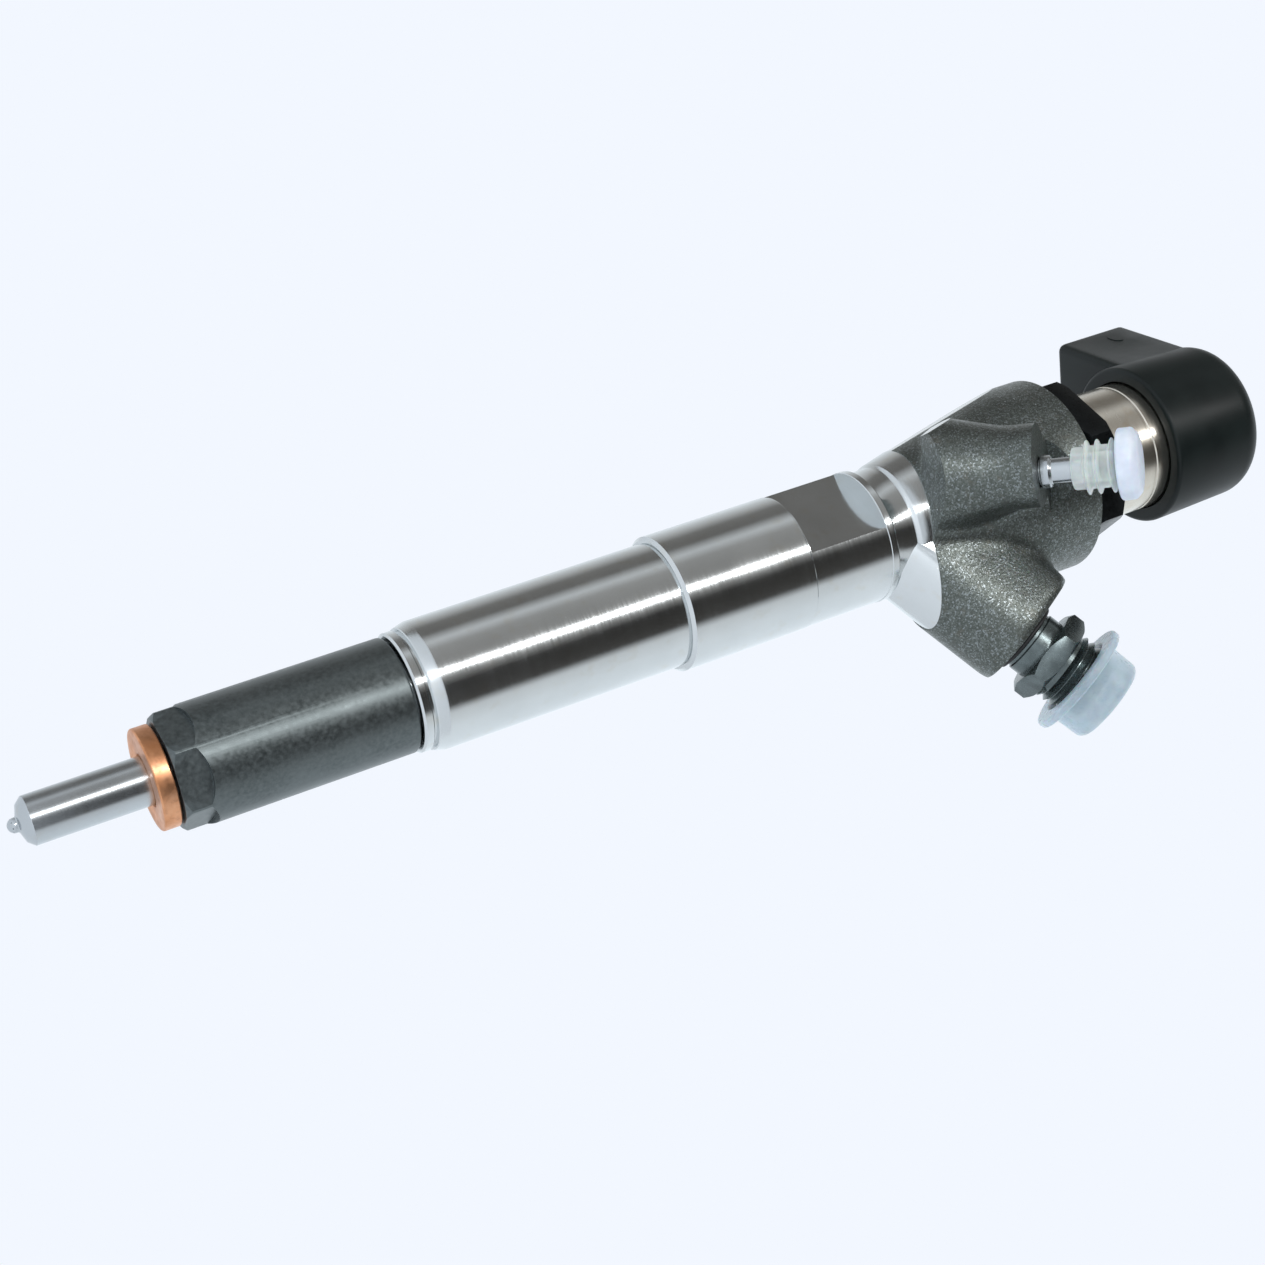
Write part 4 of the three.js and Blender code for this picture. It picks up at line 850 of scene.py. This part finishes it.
def makeInletCap():
    c = inletCap
    piece = turned("inletCap", [
        (0.3, c["inner"]), (c["bore"] - 0.7, c["inner"]), (c["bore"], c["inner"] - 0.6),
        (c["bore"], c["low"] + 0.35), (c["bore"] + 0.35, c["low"]),
        *arc(c["flange"] - 0.4, c["low"] + 0.4, 0.4, -90, 0, 4),
        *arc(c["flange"] - 0.5, c["flangeHigh"] - 0.5, 0.5, 0, 90, 4),
        (c["radius"] + 0.45, c["flangeHigh"]), (c["radius"] + 0.1, c["flangeHigh"] + 0.35),
        *arc(c["radius"] - c["round"], c["high"] - c["round"], c["round"], 0, 86, 8),
        (0.3, c["high"])], 128)
    applyPlace(piece, inletPlace)
    smoothShade(piece, 45)
    settle(piece, capPlastic, "inlet_cap", "clear_plastic", "inlet_shipping_cap")


# ---------- leak-off port ----------

spigot = {"stub": 2.0, "stubLow": 19.75, "face": 26.05, "collar": 2.5, "collarHigh": 27.55,
          "tube": 1.95, "bore": 1.15, "high": 34.75}
leakPlug = {"low": 30.65, "radius": 3.25, "rib": 4.1, "ribs": (2.3, 3.9, 6.0), "length": 6.9, "head": 5.4,
            "headHeight": 3.1, "dome": 0.95, "bore": 2.25, "boreDepth": 6.2}


def makeSpigot():
    s = spigot
    piece = turned("leakSpigot", [
        (s["bore"], s["stubLow"]), (s["stub"], s["stubLow"]), (s["stub"], s["face"]),
        (s["collar"] - 0.15, s["face"]), (s["collar"], s["face"] + 0.15),
        (s["collar"], s["collarHigh"] - 0.25), (s["collar"] - 0.2, s["collarHigh"]),
        (s["tube"] + 0.12, s["collarHigh"]), (s["tube"], s["collarHigh"] + 0.15),
        (s["tube"], s["high"] - 0.2), (s["tube"] - 0.15, s["high"]),
        (s["bore"] + 0.12, s["high"]), (s["bore"], s["high"] - 0.12)], 72, ring=True)
    applyPlace(piece, leakPlace)
    smoothShade(piece, 34)
    settle(piece, groundSteel, "injector", "ground_steel", "leak_off_spigot")


def makeLeakPlug():
    p = leakPlug
    low, radius = p["low"], p["radius"]
    profile = [(0.2, low + p["boreDepth"]), (p["bore"] - 0.3, low + p["boreDepth"]),
               (p["bore"], low + p["boreDepth"] - 0.3), (p["bore"], low + 0.2), (p["bore"] + 0.2, low),
               (radius - 0.45, low), (radius - 0.12, low + 0.15), (radius, low + 0.5)]
    for rib in p["ribs"]:
        profile += [(radius, low + rib - 0.55), (radius + 0.12, low + rib - 0.4),
                    *arc(p["rib"] - 0.17, low + rib, 0.17, -75, 75, 4),
                    (radius + 0.12, low + rib + 0.4), (radius, low + rib + 0.55)]
    stem = turned("leakPlugStem", [*profile, (radius, low + p["length"] + 0.2)], 96)
    applyPlace(stem, leakPlace)
    smoothShade(stem, 40)
    settle(stem, plugPlastic, "leak_off_plug", "clear_plastic", "leak_off_plug")
    headLow = low + p["length"]
    high = headLow + p["headHeight"]
    button = turned("leakPlugHead", [
        (0.2, headLow + 0.02), (p["head"] - 0.45, headLow),
        *arc(p["head"] - 0.4, headLow + 0.4, 0.4, -80, 0, 4),
        (p["head"], high - p["dome"] - 0.2), (p["head"] - 0.15, high - p["dome"] + 0.15),
        (p["head"] - p["dome"], high - 0.12), (p["head"] - p["dome"] - 0.5, high),
        (0.3, high)], 96)
    applyPlace(button, leakPlace)
    smoothShade(button, 40)
    settle(button, whitePlastic, "leak_off_plug", "clear_plastic", "leak_off_plug")


# ---------- inner parts keep their frame shapes ----------

innerFinish = {
    "ground": (groundSteel, ["nozzle_needle", "lift_stop_plate", "dowel_pin_1", "dowel_pin_2", "spring_seat",
                             "control_piston", "inlet_throttle_disc", "valve_body", "mushroom_valve",
                             "valve_tappet", "lever_carrier", "lever_a", "lever_b", "actuator_foot",
                             "actuator_head_plate", "inlet_rod_filter"]),
    "spring": (springSteel, ["nozzle_spring", "valve_spring", "preload_tube"]),
    "piezo": (piezoLacquer, ["piezo_stack"]),
    "header": (insulator, ["actuator_header"]),
    "contacts": (tinPlate, ["contact_lead_1", "contact_lead_2"]),
    "seal": (sealRubber, ["cap_seal_ring"]),
}


def finishInnerParts():
    for material, names in innerFinish.values():
        for name in names:
            nodes[name].data.materials.clear()
            nodes[name].data.materials.append(material)


# ---------- stage ----------

camera = {"azimuth": -75, "distance": 298.13, "height": -46.54, "lens": 62.04}


def makeCamera():
    data = bpy.data.cameras.new("camera")
    data.lens = camera["lens"]
    data.sensor_width = 36
    data.clip_start = 0.01
    holder = bpy.data.objects.new("camera", data)
    scene.collection.objects.link(holder)
    right = Vector((0.3569, 0.3232, 0.8764))
    down = Vector((-0.1142, 0.9463, -0.3025))
    right.normalize()
    forward = right.cross(down).normalized()
    down = forward.cross(right).normalized()
    turn = Matrix((right, -down, -forward)).transposed().to_4x4()
    about = Matrix.Rotation(math.radians(camera["azimuth"]), 4, "Z")
    place = Vector((camera["distance"] * mm, 0, camera["height"] * mm))
    holder.matrix_world = about @ Matrix.Translation(place) @ turn
    scene.camera = holder


stage = {"floorHeight": -0.095, "floorSize": 6.0, "floorTone": (0.88, 0.91, 0.95), "backTone": (0.89, 0.93, 1.0)}


def makeFloor():
    deselectAll()
    bpy.ops.mesh.primitive_plane_add(size=stage["floorSize"], location=(0, 0, stage["floorHeight"]))
    floor = bpy.context.object
    floor.name = "floor"
    paint = Paint("floorPaper", Emission_Strength=0.3)
    grain = paint.noise(40, 3)
    tone = paint.mix(paint.between(grain, 0.3, 0.7), [c * 0.97 for c in stage["floorTone"]], stage["floorTone"])
    floor.data.materials.append(paint.finish(Base_Color=tone, Emission_Color=tone, Roughness=0.7 + grain * 0.1))


def makeWorld():
    # a pale room with darker and lighter sides, which the round steel shows as long bands
    world = bpy.data.worlds.new("studio")
    scene.world = world
    world.use_nodes = True
    tree = world.node_tree
    tree.nodes.clear()
    where = tree.nodes.new("ShaderNodeTexCoord")
    turn = tree.nodes.new("ShaderNodeMapping")
    turn.vector_type = "POINT"
    turn.inputs["Rotation"].default_value = (0, 0, math.radians(75))
    around = tree.nodes.new("ShaderNodeTexGradient")
    around.gradient_type = "RADIAL"
    ramp = tree.nodes.new("ShaderNodeValToRGB")
    room = tree.nodes.new("ShaderNodeBackground")
    # share of a turn from straight behind the object, through the camera's side, and back
    sides = [(0.0, 1.0), (0.08, 0.86), (0.15, 0.52), (0.2, 0.2), (0.26, 0.16), (0.31, 0.66), (0.35, 0.36),
             (0.43, 0.28), (0.5, 0.2), (0.535, 0.03), (0.63, 0.06), (0.665, 0.75), (0.75, 0.92), (1.0, 1.1)]
    while len(ramp.color_ramp.elements) < len(sides):
        ramp.color_ramp.elements.new(0.5)
    for element, (position, level) in zip(ramp.color_ramp.elements, sides):
        element.position = position
        warmth = 0.12 * (1 - level)          # the darker sides of the room are a little warmer
        element.color = (level * (0.92 + warmth), level * 0.99, level * (1.05 - warmth), 1)
    # below the table's edge the room is dark
    split = tree.nodes.new("ShaderNodeSeparateXYZ")
    lower = tree.nodes.new("ShaderNodeMapRange")
    lower.inputs["From Min"].default_value = -0.3
    lower.inputs["From Max"].default_value = 0.0
    lower.inputs["To Min"].default_value = 0.08
    tree.links.new(where.outputs["Generated"], split.inputs[0])
    tree.links.new(split.outputs["Z"], lower.inputs["Value"])
    tree.links.new(lower.outputs[0], room.inputs["Strength"])
    backdrop = tree.nodes.new("ShaderNodeBackground")
    backdrop.inputs["Color"].default_value = (*stage["backTone"], 1)
    chooser = tree.nodes.new("ShaderNodeMixShader")
    path = tree.nodes.new("ShaderNodeLightPath")
    output = tree.nodes.new("ShaderNodeOutputWorld")
    tree.links.new(where.outputs["Generated"], turn.inputs["Vector"])
    tree.links.new(turn.outputs[0], around.inputs["Vector"])
    tree.links.new(around.outputs["Fac"], ramp.inputs["Fac"])
    tree.links.new(ramp.outputs["Color"], room.inputs["Color"])
    tree.links.new(path.outputs["Is Camera Ray"], chooser.inputs["Fac"])
    tree.links.new(room.outputs[0], chooser.inputs[1])
    tree.links.new(backdrop.outputs[0], chooser.inputs[2])
    tree.links.new(chooser.outputs[0], output.inputs["Surface"])


def makeLight(name, azimuth, distance, height, width, tall, power, colour=(1, 1, 1)):
    data = bpy.data.lights.new(name, "AREA")
    data.shape = "RECTANGLE"
    data.size = width
    data.size_y = tall
    data.energy = power
    data.color = colour
    holder = bpy.data.objects.new(name, data)
    scene.collection.objects.link(holder)
    turn = math.radians(azimuth)
    place = Vector((distance * math.cos(turn), distance * math.sin(turn), height))
    aim = Vector((0, 0, 0.1)) - place
    aim.z = 0
    holder.matrix_world = Matrix.Translation(place) @ aim.to_track_quat("-Z", "Z").to_matrix().to_4x4()
    return holder


makeWasher()
makeNozzle()
makeNozzleNut()
print("nozzle end made")
makeShaft()
makeForging()
makeActuatorNut()
makeSleeve()
makeCap()
makeTerminals()
print("actuator end made")
makeInlet()
makeInletCap()
makeSpigot()
makeLeakPlug()
print("ports made")
finishInnerParts()
makeCamera()
makeFloor()
makeWorld()
makeLight("keyStrip", -85, 0.7, 0.36, 0.035, 0.95, 3.2)
scene.view_settings.view_transform = "Standard"
print("stage made")
